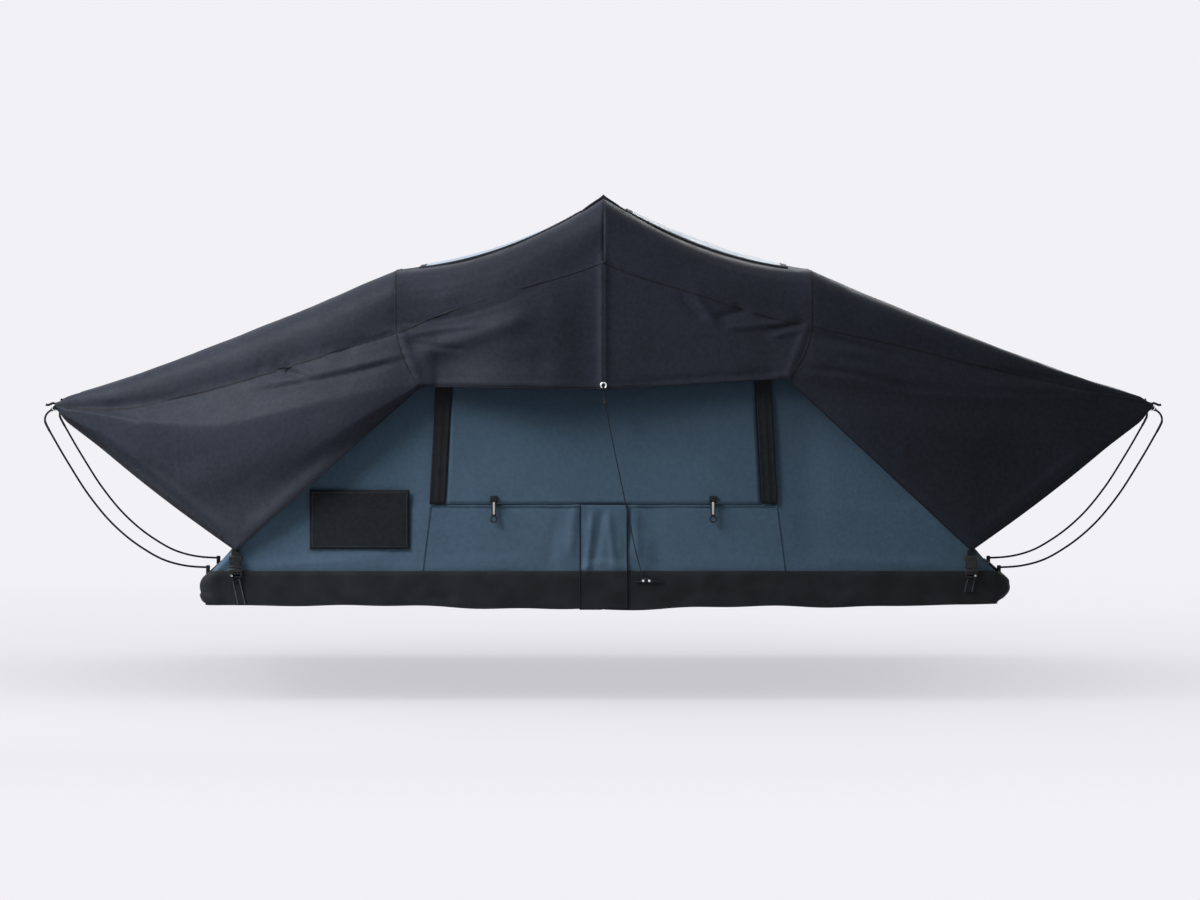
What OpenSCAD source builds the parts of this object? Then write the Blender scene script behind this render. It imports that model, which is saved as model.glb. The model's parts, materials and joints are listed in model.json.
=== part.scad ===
// Roof top tent, folded open: two hinged base halves, three bows on one hinge line,
// a fabric body over the bows and a rain fly that runs out to an awning at each end.
// +X is the folding half, -Y is the front, z = 0 is the underside of the rails and skirts.

/* [Base] */
// Length of the opened base, across the fold
base_l = 2400; // [2200:10:2600]
// Width of the base, along the fold
base_w = 1900; // [1600:10:2100]
// Corner radius of the base in plan
base_corner = 40; // [25:1:80]
// Gap between the two base halves at the fold
fold_gap = 4; // [2:0.5:10]
// Thickness of a base panel
panel_t = 22; // [15:1:30]
// Wall of the edge frame
frame_wall = 3; // [2:0.5:5]
// Thickness of the frame's top flange
frame_top = 5; // [3:0.5:8]
// Width of the frame's flanges over the panel
frame_flange = 16; // [15:1:30]
// Height of the skirt above the ground line
skirt_h = 98; // [80:1:120]
// Thickness of the skirt
skirt_t = 3; // [2:0.5:5]
// Thickness of the mattress
mattress_t = 48; // [30:1:48]
// Gap round the mattress at the fold and at the body's end
mattress_gap = 16; // [12:1:40]

/* [Mounting rails] */
// Height of a rail
rail_h = 38; // [30:1:50]
// Width of a rail's channel
rail_w = 44; // [36:1:60]
// Wall of a rail
rail_wall = 4; // [3:0.5:6]
// Width of a rail's side flanges
rail_flange = 14; // [10:1:20]
// Length of a rail
rail_l = 1600; // [1200:10:1600]
// Distance between the rails
rail_pitch = 760; // [600:10:900]
// Distance between the bolt holes along a rail
bolt_pitch = 1000; // [700:10:1150]
// Diameter of the bolt holes
bolt_d = 8.5; // [6.5:0.5:10.5]

/* [Hinge and bows] */
// Height of the hinge line above the ground line
hinge_z = 145; // [143:1:160]
// Diameter of a hinge pin
pin_d = 10; // [8:0.5:12]
// Radius of a bracket's ear round the pin
ear_r = 18; // [14:1:20]
// Thickness of a bracket's ears and foot
ear_t = 4; // [3:0.5:5]
// Distance from the fold to the near edge of a bracket's foot
bracket_near = 14; // [10:1:30]
// Length of a bracket's foot
bracket_l = 116; // [90:1:160]
// Running clearance on a pin, per side
pin_clear = 0.05; // [0.02:0.01:0.1]
// Gap between neighbours on a pin
stack_gap = 0.5; // [0.4:0.1:0.8]
// Diameter of a bow's tube
bow_d = 20; // [16:1:20]
// Wall of a bow's tube
bow_wall = 1.5; // [1:0.25:2.5]
// Bend radius of a bow's corners, at the middle of the tube
bow_bend = 130; // [110:1:130]
// Radius of a bow's eye
eye_r = 14; // [12:0.5:16]
// Length of an eye's spigot into its tube
spigot_l = 50; // [30:1:80]
// Length of the sleeves where a bow's tubes meet its bends
sleeve_l = 12; // [8:1:16]

/* [Fly and body] */
// Height of the fly at the ridge
peak_z = 1207; // [1150:1:1260]
// Distance from the ridge to the fly's bend over a side bow
kink_x = 621; // [580:1:660]
// Height of the fly at that bend
kink_z = 990; // [950:1:1020]
// How sharply the roof falls from the ridge
roof_curve = 1.9; // [1.6:0.1:2.2]
// Bend radius of the fly at the front and rear shoulders
shoulder_r = 150; // [145:1:170]
// Sag of the fly between a side bow and the awning
awning_sag = 15; // [0:1:30]
// Scoop of the awning's free edge between its tips
awning_scoop = 60; // [0:1:120]
// Height of the porch's lower edge
porch_z = 640; // [560:1:700]
// How far the porch stands off the body at the middle
porch_out = 41; // [30:1:60]
// How far the porch stands off the body at its corners
porch_side_out = 26; // [16:1:40]
// Distance from the ends of the base to the fly's lowest corners
corner_in = 106; // [80:1:160]
// Height of those corners
corner_z = 160; // [160:1:180]
// Thickness of the fly
fly_t = 2; // [1.5:0.25:3]
// Thickness of the body's cloth
body_t = 2; // [1.5:0.25:3]
// Gap between layers of cloth
layer_gap = 0.5; // [0.4:0.1:1]
// How far the body stands in from the skirt's outside, front and rear
body_in = 6; // [5:0.5:10]
// How far the body's ends stand in from the ends of the base
foot_in = 34; // [32:1:50]
// Slope of the body's ends at the foot, in degrees
foot_slope = 46; // [35:1:50]

/* [Awning rods] */
// Distance of a rod from the middle of the base
rod_y = 700; // [500:10:760]
// Diameter of a rod
rod_d = 6; // [4:0.5:7]
// Bend radius of a rod
rod_bend = 679; // [640:1:720]
// Angle of that bend
rod_sweep = 57; // [50:1:60]
// Slope of a rod at its socket
rod_slope = 13; // [12:1:20]
// Bend radius of a rod's crook
crook_bend = 32; // [25:1:40]
// Angle of the crook
crook_sweep = 78; // [60:1:85]
// Straight end of a rod, past the crook
rod_end = 18; // [16:1:24]
// Diameter of a socket's cross pin
socket_pin_d = 6; // [4:0.5:7]
// Height of a socket's pin above the skirt
socket_rise = 6; // [5:0.5:12]

/* [Trim] */
// Width of a hinge gusset
gusset_w = 140; // [100:1:180]
// Height of the top of a gusset
gusset_h = 294; // [220:1:300]
// Thickness of gussets, straps, patches and panels
trim_t = 2; // [1.5:0.25:2.5]
// Distance from the ridge to a zip strip, at its foot
strip_x = 495; // [440:1:510]
// How far a strip leans in towards its top
strip_lean = 22; // [0:1:40]
// Width of a zip strip
strip_w = 46; // [30:1:60]
// Height of the window's lower seam
window_z = 297; // [270:1:330]
// Width of the label patch
label_w = 297; // [200:1:300]
// Height of the label patch
label_h = 176; // [100:1:180]
// Distance from the end of the base to the patch's far edge
label_in = 326; // [320:1:350]
// Height of the patch's lower edge
label_z = 163; // [150:1:165]
// Width of an end door
door_w = 1200; // [900:10:1300]
// Width of a skylight
skylight_w = 840; // [500:10:1000]
// Distance from the ridge to a pull tab
tab_x = 326; // [250:1:400]
// Length of a pull tab, pin to ring
tab_l = 48; // [35:1:60]
// Width of the corner straps
strap_w = 25; // [20:1:30]
// Length of the webbing tab between a fly corner and its buckle
buckle_drop = 15; // [12:1:20]
// Width of a buckle
buckle_w = 40; // [36:1:46]
// Thickness of a buckle
buckle_t = 12; // [10:0.5:14]
// Height of a buckle's socket half
socket_h = 38; // [30:1:40]
// Height of a buckle's prong half, without its prongs
prong_h = 27; // [20:1:30]
// Diameter of the guy cord
cord_d = 3; // [2:0.25:3.5]

/* [Hidden] */
$fn = 48;

// Colours
c_fly = [0.13, 0.14, 0.18];
c_body = [0.26, 0.34, 0.40];
c_black = [0.09, 0.09, 0.10];
c_metal = [0.70, 0.71, 0.73];
c_panel = [0.78, 0.79, 0.80];
c_foam = [0.45, 0.46, 0.48];
c_white = [0.90, 0.92, 0.94];

// Levels of the base
frame_low = rail_h - frame_wall;
panel_top = rail_h + panel_t;
frame_z = panel_top + frame_top;
front_y = base_w / 2;
end_x = base_l / 2;
body_y = front_y - body_in;
foot_x = end_x - foot_in;
corner_x = end_x - corner_in;
over = 1;
seam = 0.3;

// Places along a hinge pin, from the outside in
ear_clear = 1.5;
folding_ear_y = body_y - body_t - ear_clear - ear_t;
fixed_ear_y = folding_ear_y - stack_gap - ear_t;
eye_l = bow_d;
centre_eye_y = fixed_ear_y - stack_gap - eye_l / 2;
left_eye_y = centre_eye_y - stack_gap - eye_l;
right_eye_y = left_eye_y - stack_gap - eye_l;
fixed_inner_y = right_eye_y - eye_l / 2 - stack_gap - ear_t;
folding_inner_y = fixed_inner_y - stack_gap - ear_t;
nut_h = 8;
nut_r = 9;
nut_y = folding_inner_y - stack_gap - nut_h;
mattress_y = nut_y - mattress_gap / 2;

// Bows: the side bows lie under the fly's bends, the centre bow under its ridge
cloth_stack = fly_t + body_t + 2 * layer_gap;
ridge_drop = 4;
side_drop = 2;
side_in = 12;
centre_bow_r = peak_z - cloth_stack - ridge_drop - bow_d / 2 - hinge_z;
side_bow_at = [kink_x - side_in, kink_z - cloth_stack - side_drop - bow_d / 2 - hinge_z];
side_bow_r = norm(side_bow_at);
side_bow_angle = atan2(side_bow_at[1], side_bow_at[0]);

// Awning rods: a long bend, a crook and a straight end that stands in the tip grommet
socket_pin_x = end_x - skirt_t - foot_in / 2 + 2;
socket_pin_z = skirt_h + socket_rise;
rod_centre = [socket_pin_x - rod_bend * sin(rod_slope), socket_pin_z + rod_bend * cos(rod_slope)];
crook_start_dir = rod_slope + rod_sweep;
crook_start = rod_centre + rod_bend * [sin(crook_start_dir), -cos(crook_start_dir)];
crook_centre = crook_start + crook_bend * [-sin(crook_start_dir), cos(crook_start_dir)];
end_dir = crook_start_dir + crook_sweep;
crook_end = crook_centre + crook_bend * [sin(end_dir), -cos(end_dir)];
rod_tip = crook_end + rod_end * [cos(end_dir), sin(end_dir)];
ring_r = 8;
ring_wire = 2;
tip_x = rod_tip[0] - ring_r - ring_wire - seam;
tip_top = rod_tip[1] + 22;
tip_low = rod_tip[1] - 8;
tip_r = 8;

// Buckles hang from the fly's corners, in front of the straps
strap_y = front_y + 0.3;
buckle_y = strap_y + trim_t + 0.4;
buckle_top = corner_z - layer_gap - buckle_drop;
socket_low = buckle_top - socket_h;
prong_top = socket_low - 1;

// Guy cord, from the front eyelet down to its hook on the folding half's skirt
guy_route = [
    [0, -987, 640], [2, -988, 620], [5, -988, 600], [14, -986, 550], [24, -982, 500],
    [34, -979, 450], [44, -976, 400], [55, -972, 350], [65, -969, 300], [76, -966, 250],
    [87, -962, 200], [97, -959, 150], [108, -956, 110], [119, -954, 75]
];
lock_at = 2;
lock_r = 5.5;
lock_l = 18;
lock_clear = 0.3;
hook_r = 3;
hook_l = 56;
hook_z = 71.4;

// Cloth grids: stations along X, points across the tent from the front hem to the rear hem
roof_steps = 8;
porch_step = 7;
flank_steps = 3;
awning_steps = 4;
end_steps = 6;
wall_steps = 2;
arc_steps = 5;
flat_steps = 3;
hem_sag = 14;
tip_out = 12;
shoulder_ease = 1.5;
foot_clear = 10;
foot_flare = 1;
foot_r = 6;
end_foot_r = 30;
fly_y = body_y + layer_gap + fly_t;
corner_y = buckle_y + 0.6 * buckle_t;

function mix(a, b, s) = a + (b - a) * s;
function share(x, a, b) = (x - a) / (b - a);

roof_xs = [for (i = [0 : roof_steps]) max(seam, kink_x * i / roof_steps)];
porch_x = roof_xs[porch_step];
fly_xs = concat(
    roof_xs,
    [for (i = [1 : flank_steps]) mix(kink_x, corner_x, i / flank_steps)],
    [for (i = [1 : awning_steps]) mix(corner_x, tip_x, i / awning_steps)]
);

// Fly: ridge, roof and awning heights, then the hem and the shoulders
function roof_z(x) = kink_z + (peak_z - kink_z) * pow(max(0, 1 - x / kink_x), roof_curve);
function awning_share(x) = max(0, share(x, kink_x, tip_x));
function fly_top(x) = x <= kink_x
    ? roof_z(x)
    : mix(kink_z, tip_top, awning_share(x)) - awning_sag * sin(180 * awning_share(x));
function end_share(x) = share(x, corner_x, tip_x);
function fly_hem_z(x) = x <= porch_x
    ? porch_z
    : x <= corner_x
        ? mix(porch_z, corner_z, share(x, porch_x, corner_x))
        : mix(corner_z, tip_low, end_share(x)) - hem_sag * sin(180 * end_share(x));
function fly_hem_y(x) = x <= porch_x
    ? body_y + mix(porch_out, porch_side_out, x / porch_x)
    : x <= corner_x
        ? mix(body_y + porch_side_out, corner_y, share(x, porch_x, corner_x))
        : mix(corner_y, rod_y + tip_out, end_share(x));
function fly_shoulder_y(x) = mix(fly_y, rod_y + tip_out, pow(awning_share(x), shoulder_ease));
function fly_bend(x) = mix(shoulder_r, tip_r, awning_share(x));
function scoop(x, y, shoulder) =
    awning_scoop * pow(max(0, end_share(x)), 2) * max(0, 1 - pow(y / shoulder, 2));

// Half a cross-section, from the hem up the wall, round the shoulder and in to the middle
function half_section(hem_y, hem_z, shoulder, top, bend) =
    let (r = min(bend, 0.8 * (top - hem_z)))
    concat(
        [for (i = [0 : wall_steps - 1])
            [-mix(hem_y, shoulder, i / wall_steps), mix(hem_z, top - r, i / wall_steps)]],
        [for (i = [0 : arc_steps])
            [-(shoulder - r + r * cos(90 * i / arc_steps)), top - r + r * sin(90 * i / arc_steps)]],
        [for (i = [1 : flat_steps]) [-(shoulder - r) * (1 - i / flat_steps), top]]
    );
function section(half) = concat(half, [for (i = [len(half) - 2 : -1 : 0]) [-half[i][0], half[i][1]]]);

function fly_row(x, t) =
    let (
        shoulder = fly_shoulder_y(x) - t,
        half = half_section(fly_hem_y(x) - t, fly_hem_z(x), shoulder, fly_top(x) - t, fly_bend(x) - t)
    )
    [for (p = section(half)) [x - scoop(x, p[0], shoulder), p[0], p[1]]];

// Body: under the fly's roof between the side bows, then down a sloped end to its foot
body_bend = shoulder_r - fly_t - layer_gap;
end_run = foot_x - kink_x;
end_curve = (kink_z - fly_t - layer_gap - skirt_h - tan(foot_slope) * end_run) / pow(end_run, 2);
function body_end_z(x) =
    skirt_h + tan(foot_slope) * (foot_x - x) + end_curve * pow(foot_x - x, 2);
end_xs = [for (i = [1 : end_steps]) mix(kink_x, foot_x, i / end_steps)];
end_normal = [0.85, 0.53];

function body_row(x, top, bend, t, shift) =
    [for (p = section(half_section(body_y - t, frame_z, body_y - t, top - shift[1], bend - t)))
        [x - shift[0], p[0], p[1]]];
function body_rows(t) = concat(
    [for (x = roof_xs)
        body_row(x, roof_z(x) - fly_t - layer_gap, body_bend, t, [x == kink_x ? 0.6 * t : 0, t])],
    [for (x = end_xs)
        let (bend = mix(body_bend, end_foot_r, share(x, kink_x, foot_x)))
        body_row(x, body_end_z(x), bend, t, t * end_normal)],
    [body_row(foot_x + foot_flare, frame_z + foot_clear, foot_r, t, [t, 0])]
);

function flat(rows) = [for (row = rows, p = row) p];

// A sheet of cloth between two grids of points, closed along its edges
module cloth(outer, inner) {
    rows = len(outer);
    cols = len(outer[0]);
    half = rows * cols;
    function at(i, j) = i * cols + j;
    outside = [for (i = [0 : rows - 2], j = [0 : cols - 2], k = [0, 1])
        k == 0
            ? [at(i, j), at(i + 1, j + 1), at(i + 1, j)]
            : [at(i, j), at(i, j + 1), at(i + 1, j + 1)]];
    inside = [for (f = outside) [for (k = [2, 1, 0]) f[k] + half]];
    rim = concat(
        [for (j = [0 : cols - 2]) [at(0, j), at(0, j + 1)]],
        [for (i = [0 : rows - 2]) [at(i, cols - 1), at(i + 1, cols - 1)]],
        [for (j = [cols - 2 : -1 : 0]) [at(rows - 1, j + 1), at(rows - 1, j)]],
        [for (i = [rows - 2 : -1 : 0]) [at(i + 1, 0), at(i, 0)]]
    );
    edges = [for (e = rim, k = [0, 1])
        k == 0 ? [e[0], e[0] + half, e[1] + half] : [e[0], e[1] + half, e[1]]];
    polyhedron(concat(flat(outer), flat(inner)), concat(outside, inside, edges), convexity = 8);
}

// Cord: a tube swept along a smooth curve through its route
cord_sides = 8;
cord_step = 8;
function unit(v) = v / norm(v);
function smooth(a, b, c, d, s) =
    0.5 * (2 * b + (c - a) * s + (2 * a - 5 * b + 4 * c - d) * s * s
        + (3 * b - a - 3 * c + d) * pow(s, 3));
function curve(route) = concat(
    [for (i = [0 : len(route) - 2])
        let (n = ceil(norm(route[i + 1] - route[i]) / cord_step))
        for (k = [0 : n - 1])
            smooth(route[max(0, i - 1)], route[i], route[i + 1],
                route[min(len(route) - 1, i + 2)], k / n)],
    [route[len(route) - 1]]
);
function cord_ring(p, along, r) =
    let (u = unit(cross([0, 1, 0], along)), v = cross(along, u))
    [for (k = [0 : cord_sides - 1])
        let (turn = 360 * k / cord_sides)
        p + r * (cos(turn) * u + sin(turn) * v)];
module cord(route, d) {
    line = curve(route);
    last = len(line) - 1;
    function along(i) = unit(line[min(last, i + 1)] - line[max(0, i - 1)]);
    points = flat([for (i = [0 : last]) cord_ring(line[i], along(i), d / 2)]);
    function at(i, k) = i * cord_sides + k % cord_sides;
    sides = [for (i = [0 : last - 1], k = [0 : cord_sides - 1], h = [0, 1])
        h == 0 ? [at(i, k), at(i + 1, k), at(i + 1, k + 1)] : [at(i, k), at(i + 1, k + 1), at(i, k + 1)]];
    caps = [for (k = [1 : cord_sides - 2], h = [0, 1])
        h == 0 ? [at(0, 0), at(0, k), at(0, k + 1)] : [at(last, 0), at(last, k + 1), at(last, k)]];
    polyhedron(points, concat(sides, caps), convexity = 8);
}

// Helpers
module fixed_side() { mirror([1, 0, 0]) children(); }
module front_and_rear() {
    children();
    mirror([0, 1, 0]) children();
}
module across(y, r, l, z = 0) { translate([0, y, z]) rotate([-90, 0, 0]) cylinder(r = r, h = l); }
// A plate in the XZ plane whose front face is at -y - t
module front_plate(y, t) { translate([0, -y, 0]) rotate([90, 0, 0]) linear_extrude(t) children(); }

// Base
module base_plan(inset) {
    l = base_l - 2 * inset;
    w = base_w - 2 * inset;
    r = max(1, base_corner - inset);
    square([l - 2 * r, w], center = true);
    square([l, w - 2 * r], center = true);
    for (sx = [-1, 1], sy = [-1, 1]) translate([sx * (l / 2 - r), sy * (w / 2 - r)]) circle(r);
}
module half_plan(inset, fold) {
    intersection() {
        base_plan(inset);
        translate([fold, -base_w]) square([base_l, 2 * base_w]);
    }
}
panel_fit = 0.2;
module panel_half() {
    in = frame_wall + panel_fit;
    color(c_panel) translate([0, 0, rail_h]) linear_extrude(panel_t)
        half_plan(skirt_t + in, fold_gap / 2 + in);
}
module frame_half() {
    tall = frame_z - frame_low;
    color(c_metal) difference() {
        translate([0, 0, frame_low]) linear_extrude(tall) half_plan(skirt_t, fold_gap / 2);
        translate([0, 0, rail_h]) linear_extrude(panel_t)
            half_plan(skirt_t + frame_wall, fold_gap / 2 + frame_wall);
        translate([0, 0, frame_low - over]) linear_extrude(tall + 2 * over)
            half_plan(skirt_t + frame_flange, fold_gap / 2 + frame_flange);
    }
}
module skirt_half() {
    color(c_black) linear_extrude(skirt_h) difference() {
        half_plan(0, fold_gap / 2);
        base_plan(skirt_t);
    }
}
mattress_near = fold_gap / 2 + frame_flange + mattress_gap / 2;
mattress_far = foot_x - body_t - mattress_gap;
mattress_r = 25;
module mattress_half() {
    l = mattress_far - mattress_near;
    color(c_foam) translate([mattress_near, -mattress_y, panel_top]) linear_extrude(mattress_t) {
        translate([mattress_r, 0]) square([l - 2 * mattress_r, 2 * mattress_y]);
        translate([0, mattress_r]) square([l, 2 * mattress_y - 2 * mattress_r]);
        for (x = [mattress_r, l - mattress_r], y = [mattress_r, 2 * mattress_y - mattress_r])
            translate([x, y]) circle(mattress_r);
    }
}
module mounting_rail(x) {
    color(c_metal) translate([x, 0, 0]) difference() {
        union() {
            translate([-rail_w / 2, -rail_l / 2, 0]) cube([rail_w, rail_l, rail_h]);
            translate([-rail_w / 2 - rail_flange, -rail_l / 2, rail_h - rail_wall])
                cube([rail_w + 2 * rail_flange, rail_l, rail_wall]);
        }
        translate([-rail_w / 2 + rail_wall, -rail_l / 2 - over, rail_wall])
            cube([rail_w - 2 * rail_wall, rail_l + 2 * over, rail_h]);
        for (s = [-1, 1])
            translate([0, s * bolt_pitch / 2, -over]) cylinder(d = bolt_d, h = rail_wall + 2 * over);
    }
}

// Hinge
module hinge_ear(y) {
    front_plate(y, ear_t) {
        polygon([
            [bracket_near, frame_z], [bracket_near + bracket_l, frame_z],
            [bracket_near + bracket_l, frame_z + 2 * ear_t],
            [ear_r * cos(60), hinge_z + ear_r * sin(60)],
            [-ear_r * cos(30), hinge_z - ear_r * sin(30)]
        ]);
        translate([0, hinge_z]) circle(ear_r);
    }
}
module hinge_bracket(outer, inner) {
    pad_x = fold_gap / 2 + frame_flange + panel_fit;
    pad_y = front_y - skirt_t - frame_flange - panel_fit;
    color(c_metal) difference() {
        union() {
            hinge_ear(outer);
            hinge_ear(inner);
            translate([bracket_near, -outer - ear_t, frame_z])
                cube([bracket_l, outer + ear_t - inner, ear_t]);
            translate([pad_x, -pad_y, panel_top])
                cube([bracket_near + bracket_l - pad_x, pad_y - inner, frame_top]);
        }
        translate([0, 0, hinge_z]) across(-front_y, pin_d / 2 + pin_clear, front_y);
    }
}
module hinge_pin() {
    far = folding_ear_y + ear_t;
    color(c_metal) translate([0, 0, hinge_z]) across(-far, pin_d / 2, far - nut_y + over);
}
module hinge_nut() {
    color(c_metal) translate([0, -nut_y, hinge_z]) rotate([90, 0, 0]) difference() {
        cylinder(r = nut_r, h = nut_h, $fn = 6);
        translate([0, 0, -over]) cylinder(d = pin_d + 2 * pin_clear, h = nut_h + 2 * over);
    }
}

// Bows
tube_start = eye_r + 1;
tube_bore = bow_d - 2 * bow_wall;
sleeve_r = bow_d / 2 + 0.5;
module on_bow(angle) { translate([0, 0, hinge_z]) rotate([0, 90 - angle, 0]) children(); }
module bow(leg_y, r, angle) {
    straight = leg_y - bow_bend;
    leg_l = r - bow_bend - tube_start;
    color(c_metal) on_bow(angle) {
        front_and_rear() {
            translate([0, leg_y, tube_start]) difference() {
                cylinder(d = bow_d, h = leg_l);
                translate([0, 0, -over]) cylinder(d = tube_bore, h = leg_l);
            }
            translate([0, straight, r - bow_bend]) rotate([90, 0, 90])
                rotate_extrude(angle = 90) translate([bow_bend, 0]) circle(d = bow_d);
            translate([0, leg_y, r - bow_bend]) cylinder(r = sleeve_r, h = sleeve_l, center = true);
            across(straight - sleeve_l / 2, sleeve_r, sleeve_l, r);
        }
        across(-straight, bow_d / 2, 2 * straight, r);
    }
}
module bow_eyes(leg_y, angle) {
    color(c_black) on_bow(angle) front_and_rear() translate([0, leg_y, 0]) difference() {
        union() {
            across(-eye_l / 2, eye_r, eye_l);
            cylinder(d = tube_bore - 2 * pin_clear, h = tube_start + spigot_l);
        }
        across(-eye_l, pin_d / 2 + pin_clear, 2 * eye_l);
    }
}

// Awning rods and what holds their ends
rod_eye_r = 6.5;
rod_eye_l = 11;
socket_ear_t = 4;
socket_ear_l = 16;
cap_r = 5;
cap_start = 4;
collar_l = 10;
collar_t = 0.5;
cap_past = 5;
ring_off = tip_out - fly_t / 2;
peg_l = 16;
peg_head_r = 4.5;
peg_head_t = 3;
module at_xz(p) { translate([p[0], 0, p[1]]) children(); }
module bend_xz(centre, r, from, sweep, d) {
    at_xz(centre) rotate([90, 0, 0]) rotate([0, 0, from])
        rotate_extrude(angle = sweep) translate([r, 0]) circle(d = d);
}
module along_xz(p, dir) { at_xz(p) rotate([0, 90 - dir, 0]) children(); }
// A crimped collar where two stretches of a rod meet
module rod_collar(p, dir, l) {
    along_xz(p, dir) cylinder(d = rod_d + 2 * collar_t, h = l, center = true);
}
module rod() {
    pin = [socket_pin_x, socket_pin_z];
    color(c_black) translate([0, -rod_y, 0]) difference() {
        union() {
            at_xz(pin) across(-rod_eye_l / 2, rod_eye_r, rod_eye_l);
            bend_xz(rod_centre, rod_bend, rod_slope - 90, rod_sweep, rod_d);
            rod_collar(crook_start, crook_start_dir, collar_l);
            bend_xz(crook_centre, crook_bend, crook_start_dir - 90, crook_sweep, rod_d);
            rod_collar(crook_end, end_dir, cap_start);
            along_xz(crook_end, end_dir) cylinder(d = rod_d, h = rod_end);
        }
        at_xz(pin) across(-rod_eye_l, socket_pin_d / 2 + pin_clear, 2 * rod_eye_l);
    }
}
module rod_hook() {
    color(c_black) translate([0, -rod_y, 0]) difference() {
        union() {
            along_xz(crook_end, end_dir) translate([0, 0, cap_start])
                cylinder(r = cap_r, h = rod_end + cap_past - cap_start);
            at_xz(rod_tip) across(-ring_off - peg_l / 2, rod_d / 2, ring_off + peg_l / 2);
            at_xz(rod_tip) across(-ring_off - peg_l / 2, peg_head_r, peg_head_t);
        }
        along_xz(crook_end, end_dir) cylinder(d = rod_d + 2 * pin_clear, h = rod_end + pin_clear);
    }
}
module tip_grommet() {
    color(c_metal) translate([0, -rod_y - ring_off, 0])
        bend_xz(rod_tip, ring_r, 0, 360, 2 * ring_wire);
}
module rod_socket() {
    inner = rod_eye_l / 2 + stack_gap;
    outer = inner + socket_ear_t;
    near = foot_x + 2;
    far = end_x - skirt_t - over;
    color(c_black) translate([0, -rod_y, 0]) {
        translate([near, -outer, frame_z]) cube([far - near, 2 * outer, socket_ear_t]);
        front_and_rear() translate([socket_pin_x - socket_ear_l / 2, inner, frame_z])
            cube([socket_ear_l, socket_ear_t, socket_pin_z - frame_z + socket_ear_l / 2]);
        at_xz([socket_pin_x, socket_pin_z]) across(-outer, socket_pin_d / 2, 2 * outer);
    }
}

// Cloth pieces
module fly_half() {
    color(c_fly) cloth([for (x = fly_xs) fly_row(x, 0)], [for (x = fly_xs) fly_row(x, fly_t)]);
}
module body_half() { color(c_body) cloth(body_rows(0), body_rows(body_t)); }
// A sheet laid over the roof, lift above the fly
function roof_rows(xs, zs, w, lift) =
    [for (i = [0 : len(xs) - 1]) [for (s = [-1, 1]) [xs[i], s * w / 2, zs[i] + lift]]];
module roof_sheet(xs, zs, w) {
    cloth(roof_rows(xs, zs, w, layer_gap + trim_t), roof_rows(xs, zs, w, layer_gap));
}
module skylight() {
    xs = [for (i = [1 : porch_step]) roof_xs[i]];
    color(c_white) roof_sheet(xs, [for (x = xs) roof_z(x)], skylight_w);
}
cap_share = 0.9;
module ridge_cap() {
    far = cap_share * roof_xs[1];
    low = mix(peak_z, roof_z(roof_xs[1]), cap_share);
    color(c_fly) roof_sheet([-far, 0, far], [low, peak_z, low], 2 * (fly_y - shoulder_r));
}
module end_door() {
    function rows(lift) = [for (i = [0 : end_steps - 2]) [for (s = [-1, 1])
        [end_xs[i] + lift * end_normal[0], s * door_w / 2, body_end_z(end_xs[i]) + lift * end_normal[1]]]];
    color(c_body) cloth(rows(layer_gap + trim_t), rows(layer_gap));
}

// Panels, strips and patches on the body's front and rear
window_top = porch_z + 60;
strip_gap = 4;
function strip_at(z) = strip_x - strip_lean * share(z, window_z, window_top);
module window_panel() {
    edge = strip_w / 2 + strip_gap;
    color(c_body) front_plate(body_y + layer_gap, trim_t) polygon([
        [seam, window_z], [strip_at(window_z) - edge, window_z],
        [strip_at(window_top) - edge, window_top], [seam, window_top]
    ]);
}
module zip_strip() {
    half = strip_w / 2;
    color(c_black) front_plate(body_y + layer_gap, trim_t + 1) polygon([
        [strip_at(window_z) - half, window_z], [strip_at(window_z) + half, window_z],
        [strip_at(window_top) + half, window_top], [strip_at(window_top) - half, window_top]
    ]);
}
module label_patch() {
    color(c_black) front_plate(body_y + layer_gap, trim_t)
        translate([label_in - end_x, label_z]) square([label_w, label_h]);
}
gusset_low = 1;
module hinge_gusset() {
    color(c_body) front_plate(strap_y, trim_t)
        translate([-gusset_w / 2, gusset_low]) square([gusset_w, gusset_h - gusset_low]);
}

// Corner straps and buckles
strap_low = 3;
strap_top = prong_top - prong_h / 3;
cavity_wall = 3;
cavity_roof = 6;
prong_w = 5;
prong_l = socket_h - cavity_roof - 4;
prong_t = buckle_t - 2 * cavity_wall - 1;
module corner_strap() {
    color(c_black) front_plate(strap_y, trim_t)
        translate([corner_x - strap_w / 2, strap_low]) square([strap_w, strap_top - strap_low]);
}
module buckle_socket() {
    color(c_black) front_plate(buckle_y, buckle_t)
        translate([corner_x - buckle_w / 2, buckle_top - cavity_roof]) square([buckle_w, cavity_roof]);
    color(c_black) front_plate(buckle_y + (buckle_t - trim_t) / 2, trim_t)
        translate([corner_x - strap_w / 2, buckle_top]) square([strap_w, buckle_drop + layer_gap - seam]);
    color(c_black) translate([corner_x, -buckle_y - buckle_t, socket_low]) difference() {
        translate([-buckle_w / 2, 0, 0]) cube([buckle_w, buckle_t, socket_h - cavity_roof]);
        translate([-buckle_w / 2 + cavity_wall, cavity_wall, -over])
            cube([buckle_w - 2 * cavity_wall, buckle_t - 2 * cavity_wall, socket_h]);
    }
}
module buckle_prong() {
    reach = buckle_w / 2 - cavity_wall - 2 - prong_w;
    color(c_black) translate([corner_x, -buckle_y - buckle_t, prong_top]) {
        translate([-buckle_w / 2 + 1, 0, -prong_h]) cube([buckle_w - 2, buckle_t, prong_h]);
        for (x = [-reach - prong_w, -prong_w / 2, reach])
            translate([x, (buckle_t - prong_t) / 2, 0]) cube([prong_w, prong_t, prong_l]);
    }
}

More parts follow.
